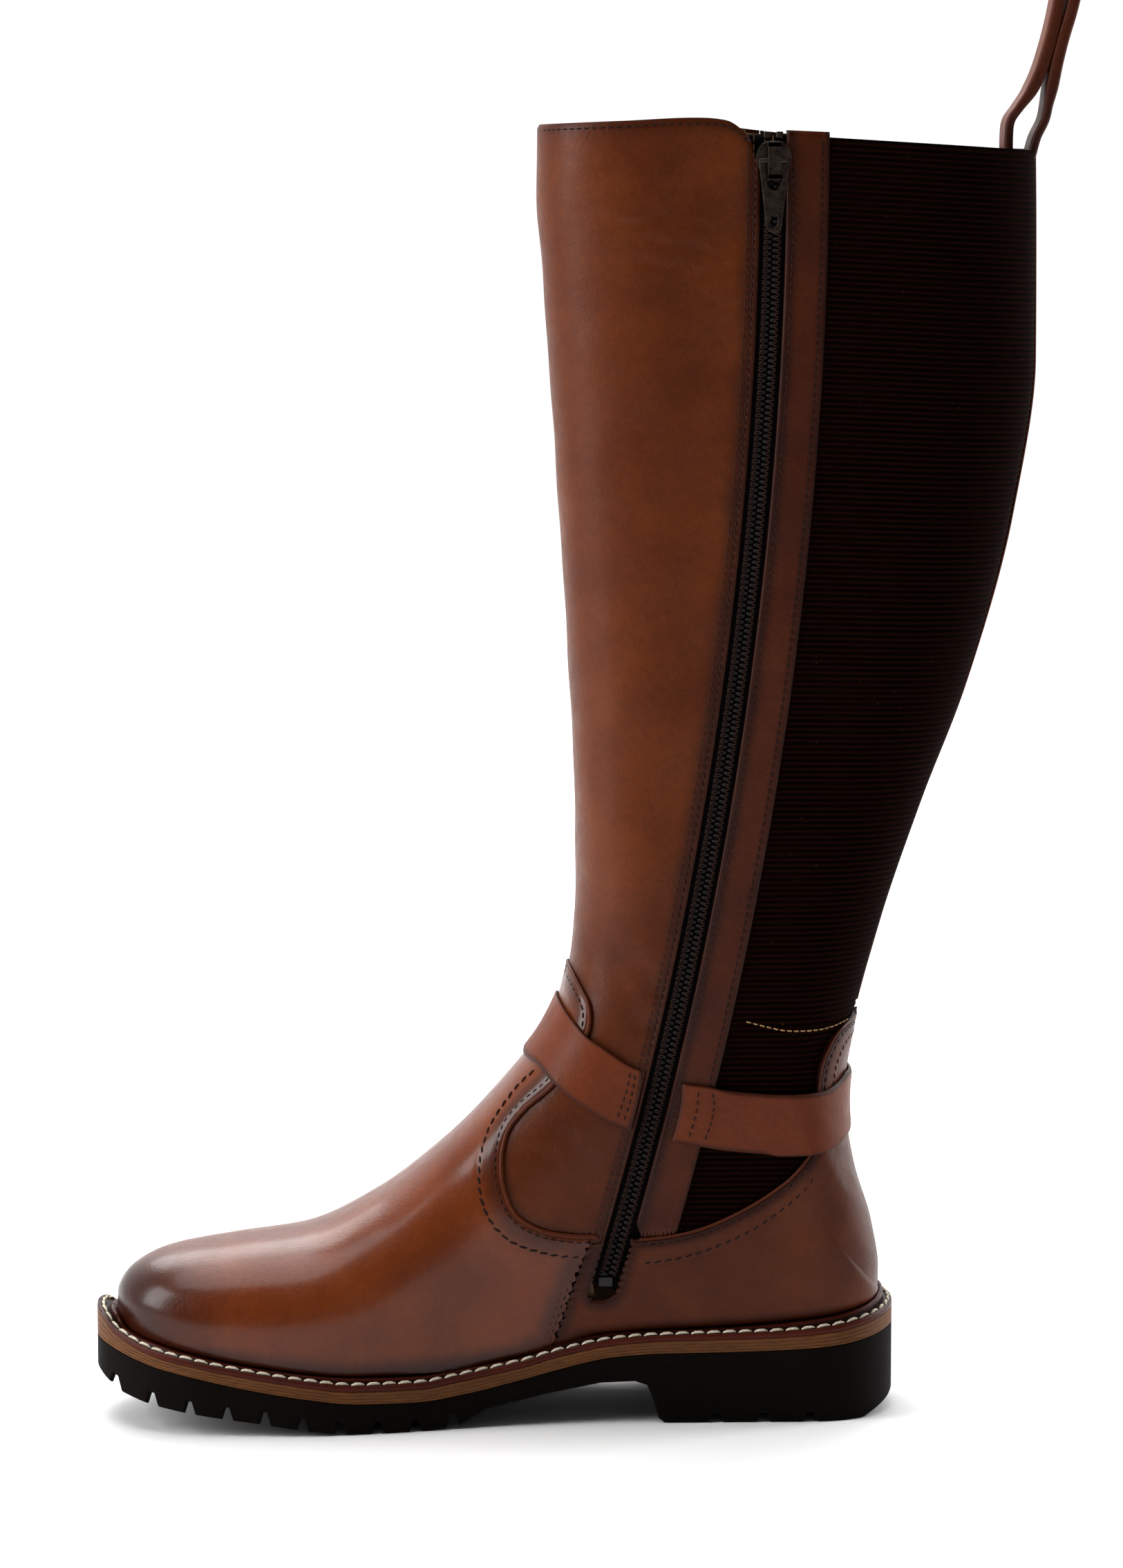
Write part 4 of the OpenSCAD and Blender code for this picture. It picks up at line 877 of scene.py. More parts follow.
def strip_piece():
    rows = even_rows(8.7, 23, -0.6, 1.2)
    left, right = lambda v: -zip_u(v, STRIP_EDGE), lambda v: -zip_u(v, ZIP_R + ZIP_GAP)
    t, u, dl, dr = net(rows, left, right, border(STRIP_W, 0.6))
    p, n = skin(t, u), skin_normal(t, u)
    out = 0.25 + rolled(dl, 0.7, 0.9) + rolled(dr, 0.5, 0.8) + 0.28 * np.exp(-((dr - 1.1) / 0.8) ** 2)
    out = out + groove(dr, 2.2, 0.22, 0.45) + groove(dl, 2.4, 0.2, 0.5) + 0.5 * swell(p)
    top = top_z(p[..., 0]) - p[..., 2]
    out = out + rolled(top, 0.7, 1.0)
    lift = smooth(1 - top / TOP_DEPTH)
    p = p + np.stack([0 * lift, 0 * lift, 1.8 * lift], -1)
    out = np.where(along(t, np.abs(u)) > COUNTER_EDGE(t), out - 1.3, out)
    burnish_and_painted_light = np.maximum(zip_burn(p), fade(dl, 5, 0.75))
    burnish_and_painted_light = np.maximum(burnish_and_painted_light, 0.45)
    return sheet_piece("zip_strip", p, n, out, THICK, None, LEATHER_EDGE, ["zip_strip"],
                       burnish_and_painted_light)


front_panel()
outer_panel()
strip_piece()

# ---------------------------------------------------------------- elastic

RIB = 1.9


def elastic_piece(name, low, high, off, nodes, cols):
    level = np.arange(low, high, RIB / 4)[:, None]
    q = np.linspace(0, 1, cols)[None, :]
    lo, hi = np.full((len(level), cols), 8.5), np.full((len(level), cols), 23.4)

    def at(t):
        u = -zip_u(t, STRIP_EDGE - 1)
        return u + (-1 - u) * q

    for _ in range(30):
        mid = (lo + hi) / 2
        p = skin(mid, at(mid))
        high_side = p[..., 2] + 0.06 * smooth((level - 135) / 300) * (p[..., 0] - 112) > level
        hi, lo = np.where(high_side, mid, hi), np.where(high_side, lo, mid)
    t = (lo + hi) / 2
    u = at(t)
    p, n = skin(t, u), skin_normal(t, u)
    run = np.concatenate([np.zeros((len(p), 1)), np.cumsum(np.linalg.norm(np.diff(p, axis=1), axis=2), 1)], 1)
    rib = np.cos(2 * np.pi * level / RIB) + 0 * run
    top = high - level
    out = off + 0.2 * rib + rolled(top, 0.5, 0.8) + 0.3 * np.sin(run * 0.06 + level * 0.02) * smooth(run / 20)
    points, faces, used = closed(p + n * out[..., None], p + n * (off - 1.5))
    # The rib attribute also drives the elastic's painted shade, dark in the valleys and light on the crests.
    values = {"across": run, "level": level + 0 * run, "rib": rib}
    values = {k: np.concatenate([v.ravel(), v.ravel()])[used] for k, v in values.items()}
    return make(name, points, faces, ELASTIC, nodes=nodes, attributes=values)


elastic_piece("elastic_back", 135, 431.3, -0.5, ["elastic_panel"], 74)
elastic_piece("elastic_low", 56, 136, -1.0, ["elastic_gusset"], 60)

# ---------------------------------------------------------------- linings

LINING_OUT, LINING_IN = -3.9, -4.8


def lining_piece(name, rows, left, right, cols, nodes, shape=None):
    t, u = net(rows, left, right, np.linspace(0, 1, cols))[:2]
    a, b = skin(t, u, LINING_OUT), skin(t, u, LINING_IN)
    if shape:
        a, b = on_top(a, shape), on_top(b, shape)
    points, faces = closed(a, b)[:2]
    return make(name, points, faces, LINING, nodes=nodes, angle=60)


lining_piece("lining_foot", np.concatenate([[0.3, 0.5, 0.8], even_rows(1, 7.96, 0.0, 3)]),
             lambda v: -1 + 0 * v, lambda v: 1 + 0 * v, 90, ["vamp_lining"])
lining_piece("lining_leg", even_rows(8, 22.95, -0.3, 4), lambda v: -zip_u(v, ZIP_R - 10),
             lambda v: 1 + 0 * v, 110, ["shaft_lining_front"], TOP_OUTER)
lining_piece("lining_rear", even_rows(8.9, 22.95, -0.8, 4), lambda v: -1 + 0 * v,
             lambda v: -zip_u(v, ZIP_R + 10), 50, ["shaft_lining_rear"])

# ---------------------------------------------------------------- seams and stitches


def bead(name, lines, wide, high, material, lift=0.0, nodes=()):
    """A rounded cord of leather along each line of (points, normals)."""
    parts = []
    for points, normals in lines:
        fine = even(np.hstack([points, normals]), 0.8)
        parts.append(tube(fine[:, :3] + unit(fine[:, 3:]) * lift, unit(fine[:, 3:]), wide, high, 10))
    points, faces = joined(parts)
    burnish_and_painted_light = np.full(len(points), 0.35)
    return make(name, points, faces, material, nodes=nodes, attributes={"burnish_and_painted_light": burnish_and_painted_light})


def inset(line, side, by):
    """A seen-from-the-side line moved sideways by a distance."""
    d = unit(np.gradient(line, axis=0))
    return line + np.stack([-d[:, 1], d[:, 0]], -1) * by * side


bead("vamp_piping", [trace(VAMP_LINE[8:], side, 0.8, False) for side in (-1, 1)], 0.8, 0.55, LEATHER_EDGE,
     0.65)
# The counter's edge behind the zip, clear of the slider's way
SLIDER_PASS_X = 48
BEHIND_ZIP = COUNTER_LINE[COUNTER_LINE[:, 0] > SLIDER_PASS_X]
bead("counter_piping", [trace(BEHIND_ZIP, -1, 0.8, False), trace(COUNTER_LINE, 1, 0.8, False)], 0.5, 0.4,
     LEATHER_EDGE, 0.6)
BACK_T = np.linspace(16.3, 22.98, 260)
BACK = (skin(BACK_T, -1 + 0 * BACK_T), np.tile([1.0, 0, 0], (len(BACK_T), 1)))
bead("back_seam", [BACK], 0.9, 0.5, LEATHER_EDGE, 0.1)
SEAM_T = np.linspace(8.5, 22.98, 420)
SEAM = (skin(SEAM_T, zip_u(SEAM_T, ZIP_R + 0.15)), skin_normal(SEAM_T, zip_u(SEAM_T, ZIP_R + 0.15)))
bead("outer_seam", [SEAM], 0.5, 0.35, LEATHER_EDGE, 0.05)

# Pitch, length and thread radius
FINE_STITCH, STRAP_STITCH = (2.8, 2.2, 0.26), (2.4, 1.8, 0.24)
zip_front_row = [trace(zip_line(-ZIP_GAP - v, 60, 432, 1.0), -1, 1.0, False) for v in (2.2, 4.1)]
zip_rear_row = [trace(zip_line(ZIP_GAP + v, 88, 430, 1.0), -1, 1.0, False) for v in (2.2,)]
strip_row = [trace(zip_line(ZIP_GAP + STRIP_W - 2.4, 95, 430, 1.0), -1, 1.0, False)]
stitches("stitch_zip_front", zip_front_row, *FINE_STITCH, THREAD_ZIP, lift=0.02)
stitches("stitch_zip_rear", zip_rear_row, *FINE_STITCH, THREAD_ZIP, lift=0.25)
stitches("stitch_strip", strip_row, *FINE_STITCH, THREAD_DARK, lift=0.25)
VAMP_STITCH = [(13.9, 118.7), (6.9, 111.5), (-2.1, 98.4), (-5.6, 84.9), (-3.6, 72.8), (4.3, 63.3),
               (17.6, 58.5), (32, 57.2)]
stitches("stitch_vamp", [trace(VAMP_STITCH, -1), trace(VAMP_STITCH, 1)], 3.6, 3.1, 0.36, THREAD_DARK,
         lift=0.62, slant=0.25)
VAMP_NEAR = inset(VAMP_LINE[14:-4], -1, 2.0)
stitches("stitch_vamp_edge", [trace(VAMP_NEAR, -1, 0.8, False)], 2.8, 2.2, 0.24, THREAD_DARK, lift=0.75)
COUNTER_STITCH = [(49.1, 55.1), (61, 56.7), (72.6, 60.2), (84.5, 65.6), (94.3, 71.9), (102.2, 78.5),
                  (107.1, 84.4)]
stitches("stitch_counter", [trace(COUNTER_STITCH, -1)], 3.4, 2.8, 0.32, THREAD_DARK, lift=0.5, slant=0.2)
SEAM_STITCH = [inset(VAMP_SEAM[8:-30], -1, v) for v in (1.6, 3.2)]
stitches("stitch_foot_seam", [trace(line, side, 0.8, False) for line in SEAM_STITCH for side in (-1, 1)],
         2.8, 2.2, 0.24, THREAD_DARK, lift=0.5)
COUNTER_NEAR = inset(BEHIND_ZIP[:-6], -1, 1.8)
stitches("stitch_counter_edge", [trace(COUNTER_NEAR, -1, 0.8, False)], 2.8, 2.2, 0.22, THREAD_DARK, lift=0.75)
stitches("stitch_counter_tab", [trace(inset(COUNTER_LINE[-90:-6], -1, 5.0), -1, 0.8, False)], 2.6, 2.2, 0.26,
         THREAD_DARK, lift=0.6, slant=0.5)
stitches("stitch_gusset",
         [trace([(83.5, 137.4), (95, 134.5), (103.6, 133.8), (112.2, 134.2), (119.4, 135.6)], -1)], 2.3, 1.8,
         0.26, THREAD_TAN, lift=-0.05)
SEAM_ROWS = [(skin(SEAM_T, zip_u(SEAM_T, ZIP_R + v)), skin_normal(SEAM_T, zip_u(SEAM_T, ZIP_R + v)))
             for v in (-2.2, 2.4)]
stitches("stitch_outer_seam", SEAM_ROWS, *FINE_STITCH, THREAD_DARK, lift=0.05)


def top_row(down, side, x0, x1, shape):
    """A row of places at a distance below the top edge."""
    x = np.linspace(x0, x1, 160)
    z = top_z(x) + shape(x) - down
    t, u = place(x, z - shape(x))
    p, n = skin(t, side * u), skin_normal(t, side * u)
    p[:, 2] = z
    return p, n


stitches("stitch_hem", [top_row(2.0, -1, 16.5, 83, TOP_FRONT), top_row(2.0, 1, 16.5, 176, TOP_OUTER)], 2.8,
         2.2, 0.24, THREAD_DARK, lift=0.02)

# ---------------------------------------------------------------- ankle strap and buckle

STRAP_GAP, STRAP_T = 0.7, 1.8
BUCKLE_X, BUCKLE_Z, BUCKLE_TURN = 61.0, 107.0, math.radians(9)
BAR_X, BAR_Z, BAR_R, FRONT_BAR_Z = 9.0, 2.4, 1.1, 3.95
TAIL_LOW, TAIL_HIGH = 3.4, 4.75
TAIL_RISE = Curve([(-40, STRAP_GAP), (-7, STRAP_GAP), (-2, 1.2), (BAR_X - 3, TAIL_HIGH - 0.5),
                   (BAR_X, TAIL_HIGH), (BAR_X + 3, TAIL_HIGH - 0.5), (BAR_X + 12, TAIL_LOW), (60, TAIL_LOW)])
FRONT_HIGH = Curve([(0, 8.7), (0.06, 8.88), (0.13, 9.12), (0.2, 9.46), (0.27, 9.78), (0.335, 10.2)])
FRONT_LOW = Curve([(0, 7.4), (0.045, 7.62), (0.14, 7.92), (0.22, 8.21), (0.29, 8.51), (0.355, 8.82),
                   (0.44, 9.38)])


def share_line(points, last):
    """t by share of the ray, for a line seen from the side that ends at the back."""
    line = spline(points, 1.5)
    t, u = place(line[:, 0], line[:, 1])
    rows = np.stack([along(t, u), t], -1)
    rows = rows[np.concatenate([[True], np.diff(np.maximum.accumulate(rows[:, 0])) > 0.003])]
    return Curve(np.vstack([rows[rows[:, 0] < 0.985], [(1, last)]]))


# Shares of the ray at each strap's ends, as (lower edge, upper edge)
FRONT_START, FRONT_END = (0.405, 0.297), (0.435, 0.333)
REAR_START, REAR_END = (0.478, 0.376), (0.535, 0.437)
FRONT_SPREAD = 1.5
REAR_LOW = share_line([(55, 96.7), (58.6, 96.2), (78.4, 92.9), (96.8, 92), (110.1, 93.6), (119, 98)], 14.68)
REAR_HIGH = share_line([(58.4, 116.6), (62.3, 115.9), (83.4, 113.6), (96.7, 113.1), (108.4, 113.7),
                        (113.5, 115.1), (119.6, 118.6)], 15.5)
ACROSS = np.unique(np.concatenate([np.linspace(0, 0.09, 6), np.linspace(0.1, 0.9, 27),
                                   np.linspace(0.91, 1, 6)]))


def in_buckle(x, y, z):
    """Points on the drawing from the buckle's own axes: along the strap, across it and off the leg."""
    c, s = math.cos(BUCKLE_TURN), math.sin(BUCKLE_TURN)
    x, y, z = np.broadcast_arrays(np.asarray(x, float), y, z)
    return np.stack([BUCKLE_X + x * c + y * s, LEG + z, BUCKLE_Z - x * s + y * c], -1)


def strap_sheet(low, high, side, share_low, share_high):
    """Places of a strap: a row for each pair of shares, running from its lower to its upper edge."""
    q = ACROSS[None, :]
    s = share_low[:, None] * (1 - q) + share_high[:, None] * q
    t = low(share_low)[:, None] * (1 - q) + high(share_high)[:, None] * q
    return t, side * around(t, s)


def slab_profile(d):
    """How far a strap's two faces lie from its middle, at a distance from its edge."""
    return STRAP_T / 2 * np.sqrt(np.clip(1 - (1 - np.clip(d / 0.95, 0, 1)) ** 2.4, 0, 1))


def strap_mesh(name, middle, up, keep, edge, nodes):
    run = np.concatenate([[0], np.cumsum(np.linalg.norm(np.diff(middle[:, middle.shape[1] // 2], axis=0),
                                                        axis=1))])
    width = np.linalg.norm(middle[:, -1] - middle[:, 0], axis=1)[:, None]
    d = np.minimum(ACROSS, 1 - ACROSS)[None, :] * width
    d = np.minimum(d, np.minimum(run, run[-1] - run)[:, None])
    d = np.minimum(d, edge) if edge is not None else d
    half = slab_profile(d)[..., None]
    points, faces, used = closed(middle + up * half, middle - up * half, keep)
    burnish_and_painted_light = np.maximum(fade(d, 2.2, 0.7), 0.12 + 0 * d)
    burnish_and_painted_light = np.concatenate([burnish_and_painted_light.ravel(), burnish_and_painted_light.ravel()])[used]
    return make(name, points, faces, LEATHER_STRAP, nodes=nodes, attributes={"burnish_and_painted_light": burnish_and_painted_light},
                angle=60)


def front_strap():
    k = np.linspace(0, 1, 110)
    mid = STRAP_GAP + STRAP_T / 2
    t1, u1 = strap_sheet(FRONT_LOW, FRONT_HIGH, -1,
                         *[end * (1 - k) ** FRONT_SPREAD + 1e-4 for end in FRONT_START])
    k = np.linspace(0, 1, 111)[1:]
    t2, u2 = strap_sheet(FRONT_LOW, FRONT_HIGH, 1, *[end * k ** FRONT_SPREAD for end in FRONT_END])
    t, u = np.vstack([t1, t2]), np.vstack([u1, u2])
    around_leg = skin(t, u, mid)
    up1 = unit(skin(t, u, mid + 0.5) - around_leg)
    x = np.concatenate([np.arange(-7, BAR_X + 34.4, 0.55), np.linspace(BAR_X + 34.5, BAR_X + 36, 8)])[:, None]
    half = 10 * np.sqrt(np.clip(1 - ((x - (BAR_X + 22)) / 14) ** 2 * 0.55, 0.02, 1))
    half = np.where(x > BAR_X + 22, half, 10.0)
    half = np.where(x > BAR_X + 30, half * np.sqrt(np.clip(1 - ((x - BAR_X - 30) / 6.05) ** 2, 0.03, 1)),
                    half)
    y = (ACROSS[None, :] * 2 - 1) * half
    rise = TAIL_RISE(x) + STRAP_T / 2 + 0 * y
    tail = in_buckle(x + 0 * y, y, rise)
    slope = (TAIL_RISE(x + 0.3) - TAIL_RISE(x - 0.3)) / 0.6 + 0 * y
    up2 = in_buckle(x - slope, y, rise + 1) - tail
    edge = np.full(y.shape, 99.0)
    xx = x + 0 * y
    for hx in (BAR_X + 17 + 8.5, BAR_X + 29):
        r = np.hypot(xx - hx, y)
        edge = np.minimum(edge, r - 1.2)
    slot = np.maximum(np.abs(xx - 4.7) - 6.3, np.abs(y) - 1.45)
    edge = np.minimum(edge, slot)
    middle, up = np.vstack([around_leg, tail]), np.vstack([up1, unit(up2)])
    edge = np.vstack([np.full(t.shape, 99.0), edge])
    return strap_mesh("ankle_strap_front", middle, up, edge > -0.05, np.maximum(edge, 0),
                      ["ankle_strap_front"])


def rear_strap():
    k = np.linspace(0, 1, 160)
    t1, u1 = strap_sheet(REAR_LOW, REAR_HIGH, -1, *[end + (1 - end) * k for end in REAR_START])
    k = np.linspace(1, 0, 140)[1:]
    t2, u2 = strap_sheet(REAR_LOW, REAR_HIGH, 1, *[end + (1 - end) * k for end in REAR_END])
    t, u = np.vstack([t1, t2]), np.vstack([u1, u2])
    middle = skin(t, u, STRAP_GAP + STRAP_T / 2)
    up = unit(skin(t, u, STRAP_GAP + STRAP_T) - middle)
    return strap_mesh("ankle_strap_rear", middle, up, None, None, ["ankle_strap_rear"])


front_strap()
rear_strap()


def end_rows(low, high, share_low, share_high, steps):
    """Rows of places across a strap's free end."""
    rows = []
    for k in steps:
        q = np.linspace(0.1, 0.9, 60)
        s = share_low(k) * (1 - q) + share_high(k) * q
        t = low(share_low(k)) * (1 - q) + high(share_high(k)) * q
        u = -around(t, s)
        rows.append((skin(t, u, STRAP_GAP + STRAP_T), skin_normal(t, u)))
    return rows


stitches("stitch_strap_front",
         end_rows(FRONT_LOW, FRONT_HIGH, lambda k: FRONT_START[0] * (1 - k) ** FRONT_SPREAD,
                  lambda k: FRONT_START[1] * (1 - k) ** FRONT_SPREAD, (0.028, 0.055)), *STRAP_STITCH,
         THREAD_DARK, "leather_strap", 0.02)
stitches("stitch_strap_rear", end_rows(REAR_LOW, REAR_HIGH, lambda k: REAR_START[0] + k,
         lambda k: REAR_START[1] + k * 1.2,
         (0.02, 0.04)), *STRAP_STITCH, THREAD_DARK, "leather_strap", 0.02)


def keeper():
    """The loop that holds the strap's free end."""
    half, top = 11.85, TAIL_LOW + STRAP_T + 0.3 + 0.65
    a = np.linspace(0, np.pi / 2, 8)
    r = 1.5
    arc = np.stack([-half + r - r * np.cos(a), top - r + r * np.sin(a)], -1)
    path = np.vstack([[(-half, 0.35), (-half, 1.5), (-half, 2.6)], arc,
                      [(v, top) for v in np.linspace(-9, 9, 9)], arc[::-1] * [-1, 1],
                      [(half, 2.6), (half, 1.5), (half, 0.35)]])
    d = unit(np.gradient(path, axis=0))
    n = np.stack([-d[:, 1], d[:, 0]], -1)
    x = np.array([0, 0.15, 0.45, 1, 2, 3, 4, 5, 5.55, 5.85, 6])
    depth = 0.65 * np.sqrt(np.clip(1 - (1 - np.clip(np.minimum(x, 6 - x) / 0.6, 0, 1)) ** 2, 0.05, 1))
    sheets = []
    for sign in (1, -1):
        q = path[:, None] + n[:, None] * depth[None, :, None] * sign
        sheets.append(in_buckle(BAR_X + 16 + x[None, :] + 0 * q[..., 0], q[..., 0], q[..., 1]))
    points, faces = closed(*sheets)[:2]
    return make("strap_keeper", points, faces, LEATHER_STRAP, nodes=["strap_keeper"],
                attributes={"burnish_and_painted_light": np.full(len(points), 0.3)}, angle=60)


keeper()


def prism(outlines, y0, y1, put):
    """Points and faces of a plate: outlines in two axes, the first solid and the others its holes."""
    bm = bmesh.new()
    for outline in outlines:
        ring = [bm.verts.new((float(a), float(b), 0)) for a, b in outline]
        for i, v in enumerate(ring):
            bm.edges.new((v, ring[(i + 1) % len(ring)]))
    bmesh.ops.triangle_fill(bm, edges=bm.edges[:], use_beauty=True, use_dissolve=True)
    made = bmesh.ops.extrude_face_region(bm, geom=bm.faces[:])
    for v in made["geom"]:
        if isinstance(v, bmesh.types.BMVert):
            v.co.z = 1
    bm.verts.index_update()
    flat = np.array([v.co[:] for v in bm.verts])
    faces = [[v.index for v in f.verts] for f in bm.faces]
    bm.free()
    return put(flat[:, 0], flat[:, 1], y0 + (y1 - y0) * flat[:, 2]), faces


def circle(x, y, r, n=28, a0=0.0, a1=360.0):
    a = np.radians(np.linspace(a0, a1, n, endpoint=a1 - a0 < 360))
    return np.stack([x + r * np.cos(a), y + r * np.sin(a)], -1)


def chape():
    """The leather tab that holds the buckle's rear bar."""
    side = lambda x, z, y: in_buckle(x, y, z)
    outline = np.vstack([circle(BAR_X, BAR_Z, 2.0, 20, 80, 262),
                         [(12.4, 0.4), (15.2, 0.35), (15.2, 1.4), (12.6, 2.5)]])
    parts = [prism([outline, circle(BAR_X, BAR_Z, 1.16)], a, b, side) for a, b in ((-9.8, -1.2), (1.2, 9.8))]
    points, faces = joined(parts)
    return make("buckle_chape", points, faces, LEATHER_STRAP, nodes=["buckle_chape"],
                attributes={"burnish_and_painted_light": np.full(len(points), 0.4)}, angle=40, bevel=0.25)


chape()


def ring_path(half_x, half_y, radius, turn=9):
    parts = []
    for sx, sy, a0 in ((1, 1, 0), (-1, 1, 90), (-1, -1, 180), (1, -1, 270)):
        parts.append(circle(sx * (half_x - radius), sy * (half_y - radius), radius, turn, a0, a0 + 90))
    return np.vstack(parts)


def frame_z(x):
    """Height of the buckle frame's middle line off the leg."""
    return BAR_Z + (FRONT_BAR_Z - BAR_Z) * (BAR_X - x) / (2 * BAR_X)


frame_line = even(np.vstack([ring_path(BAR_X, 11.85, 2.2), ring_path(BAR_X, 11.85, 2.2)[:1]]), 0.7)[:-1]
frame_up = in_buckle(np.zeros(1), 0, 1) - in_buckle(np.zeros(1), 0, 0)
points, faces = tube(in_buckle(frame_line[:, 0], frame_line[:, 1], frame_z(frame_line[:, 0])),
                     np.tile(frame_up, (len(frame_line), 1)), BAR_R, BAR_R, 16, shut=True)
make("buckle_frame", points, faces, BRONZE, body="buckle", nodes=["buckle_frame"])
px = np.linspace(BAR_X - 1.6, -BAR_X - 1.2, 26)
pz = np.interp(px, [-BAR_X - 1.2, -BAR_X + 0.5, BAR_X - 1.6], [5.95, 6.05, BAR_Z + 0.45])
points, faces = tube(in_buckle(px, 0, pz), np.tile(frame_up, (len(px), 1)),
                     np.interp(np.arange(26), [0, 20, 25], [0.95, 0.75, 0.45]),
                     np.interp(np.arange(26), [0, 25], [0.8, 0.6]), 14)
eye = prism([circle(BAR_X, BAR_Z, 1.95), circle(BAR_X, BAR_Z, 1.16)], -0.9, 0.9,
            lambda x, z, y: in_buckle(x, y, z))
points, faces = joined([(points, faces), eye])
make("buckle_prong", points, faces, BRONZE, body="prong", nodes=["buckle_prong"], angle=40)

# ---------------------------------------------------------------- zip

TAPE_Y = -LEG + THICK + 1.4


def zip_point(r, z, y):
    r, z, y = np.broadcast_arrays(np.asarray(r, float), z, y)
    a = np.arcsin((z - SLIDER_Z) / ZIP_R)
    return np.stack([ZIP_X + (ZIP_R + r) * np.cos(a), y, SLIDER_Z + (ZIP_R + r) * np.sin(a)], -1)


def tape_piece(name, side, low, high):
    z = np.linspace(low, high, 330)[:, None]
    r = side * np.linspace(0.3, 8.4, 12)[None, :]
    front = zip_point(r, z, TAPE_Y + 0.05 * np.sin(z * 3))
    back = zip_point(r, z, TAPE_Y + 0.55)
    points, faces = closed(front, back)[:2]
    make(name, points, faces, TAPE, nodes=[name.replace("_woven", "")])


tape_piece("zip_tape_front_woven", -1, 46.5, 432)
tape_piece("zip_tape_rear_woven", 1, 46.5, 432)

COIL_PITCH = 1.9


def coil_side(side, low=51.2, high=429.6):
    """The zip's coil on one side: slanted turns that meet at the middle, and the cord they go round."""
    parts = []
    z0 = np.arange(low + (0 if side < 0 else COIL_PITCH / 2), high, COIL_PITCH)
    for z in z0:
        r = np.array([3.0, 2.5, 1.7, 0.9, 0.42, 0.3, 0.42, 0.9, 1.7, 2.5, 3.0])
        dz = np.array([-0.62, -0.5, -0.36, -0.24, -0.2, 0, 0.2, 0.24, 0.36, 0.5, 0.62])
        y = np.array([0.5, 0.16, 0, 0, 0.12, 0.25, 0.12, 0, 0, 0.16, 0.5])
        path = zip_point(side * r, z + dz, -LEG + 0.1 + 0.35 + y)
        parts.append(tube(path, np.tile([0, -1.0, 0], (len(path), 1)), 0.3, 0.34, 7))
    return joined(parts)


for each, name in ((-1, "zip_teeth_front"), (1, "zip_teeth_rear")):
    points, faces = coil_side(each)
    make(name + "_coil", points, faces, COIL, nodes=[name])


def chain_stitches():
    lines = []
    for side in (-1, 1):
        z = np.arange(52, 429, COIL_PITCH)
        for a, b in ((0, 0.85), (0.85, 1.8)):
            zz = np.stack([z + a, z + b], 1)
            r = np.where(a == 0, 1.35, 2.95), np.where(a == 0, 2.95, 1.35)
            for q in zz:
                lines.append(zip_point(side * np.array([float(r[0]), float(r[1])]), q, -LEG - 0.02))
    parts = []
    for path in lines:
        fine = np.stack([path[0] + (path[1] - path[0]) * k for k in (0.04, 0.3, 0.7, 0.96)])
        fine[[0, 3], 1] += 0.3
        parts.append(tube(fine, np.tile([0, -1.0, 0], (4, 1)), [0.1, 0.2, 0.2, 0.1], [0.1, 0.2, 0.2, 0.1], 6))
    points, faces = joined(parts)
    make("zip_chain_stitch", points, faces, THREAD_ZIP)


chain_stitches()


def plate(outlines, y0, y1):
    """A plate of the slider or its puller, facing outwards."""
    return prism(outlines, y0, y1, lambda x, z, y: np.stack([SLIDER_X + x, y, SLIDER_Z + z], -1))


stop_parts = []
for each in (-1, 1):
    outline = np.array([(each * 1.0, -1.1), (each * 3.1, -1.1), (each * 3.1, 1.1), (each * 1.0, 1.1)])
    spot = zip_point(0, 431.9, 0)
    stop_parts.append(prism([outline], -LEG - 0.2, TAPE_Y,
                            lambda x, z, y: np.stack([spot[0] + x, y, spot[2] + z], -1)))
points, faces = joined(stop_parts)
make("zip_top_stops", points, faces, BRONZE, nodes=["zip_top_stops"], angle=40, bevel=0.3)
spot = zip_point(0, 48.7, 0)
points, faces = prism([np.array([(-2.4, -1.7), (2.4, -1.7), (2.4, 1.7), (-2.4, 1.7)])], -LEG + 0.5, TAPE_Y,
                      lambda x, z, y: np.stack([spot[0] + x, y, spot[2] + z], -1))
make("zip_bottom_stop", points, faces, COIL, nodes=["zip_bottom_stop"], angle=40, bevel=0.35)

PLATE_BACK = -LEG - 0.6
PLATE = PLATE_BACK - 1.3
half_shield = spline([(0, 6.3), (2.2, 6.2), (4.1, 5.2), (5.4, 3), (5.75, 0.9), (5.3, -1.4), (4.2, -4),
                      (3.4, -6.4)], 0.7)
shield = np.vstack([half_shield[:-1], [(3.2, -6.5), (-3.2, -6.5)], half_shield[::-1][1:-1] * [-1, 1]])
slider_parts = [plate([shield], PLATE, PLATE_BACK),
                plate([ring_path(4.64, 5.85, 0.8, 4)], TAPE_Y + 0.9, TAPE_Y + 1.8),
                plate([np.array([(-0.12, -2.6), (0.12, -2.6), (0.12, 2.6), (-0.12, 2.6)])], PLATE_BACK - 0.2,
                      TAPE_Y + 1.2)]
half = 2.2
for z0, z1, y0, y1 in ((4.4, 6.0, PLATE - 3.5, PLATE + 0.2), (-6.0, -4.4, PLATE - 3.5, PLATE + 0.2),
                       (-6.0, 6.0, PLATE - 3.5, PLATE - 2.3)):
    slider_parts.append(plate([np.array([(-half, z0), (half, z0), (half, z1), (-half, z1)])], y0, y1))
points, faces = joined(slider_parts)
make("zip_slider", points, faces, BRONZE, body="slider", nodes=["zip_slider"], angle=40,
     bevel=0.3)

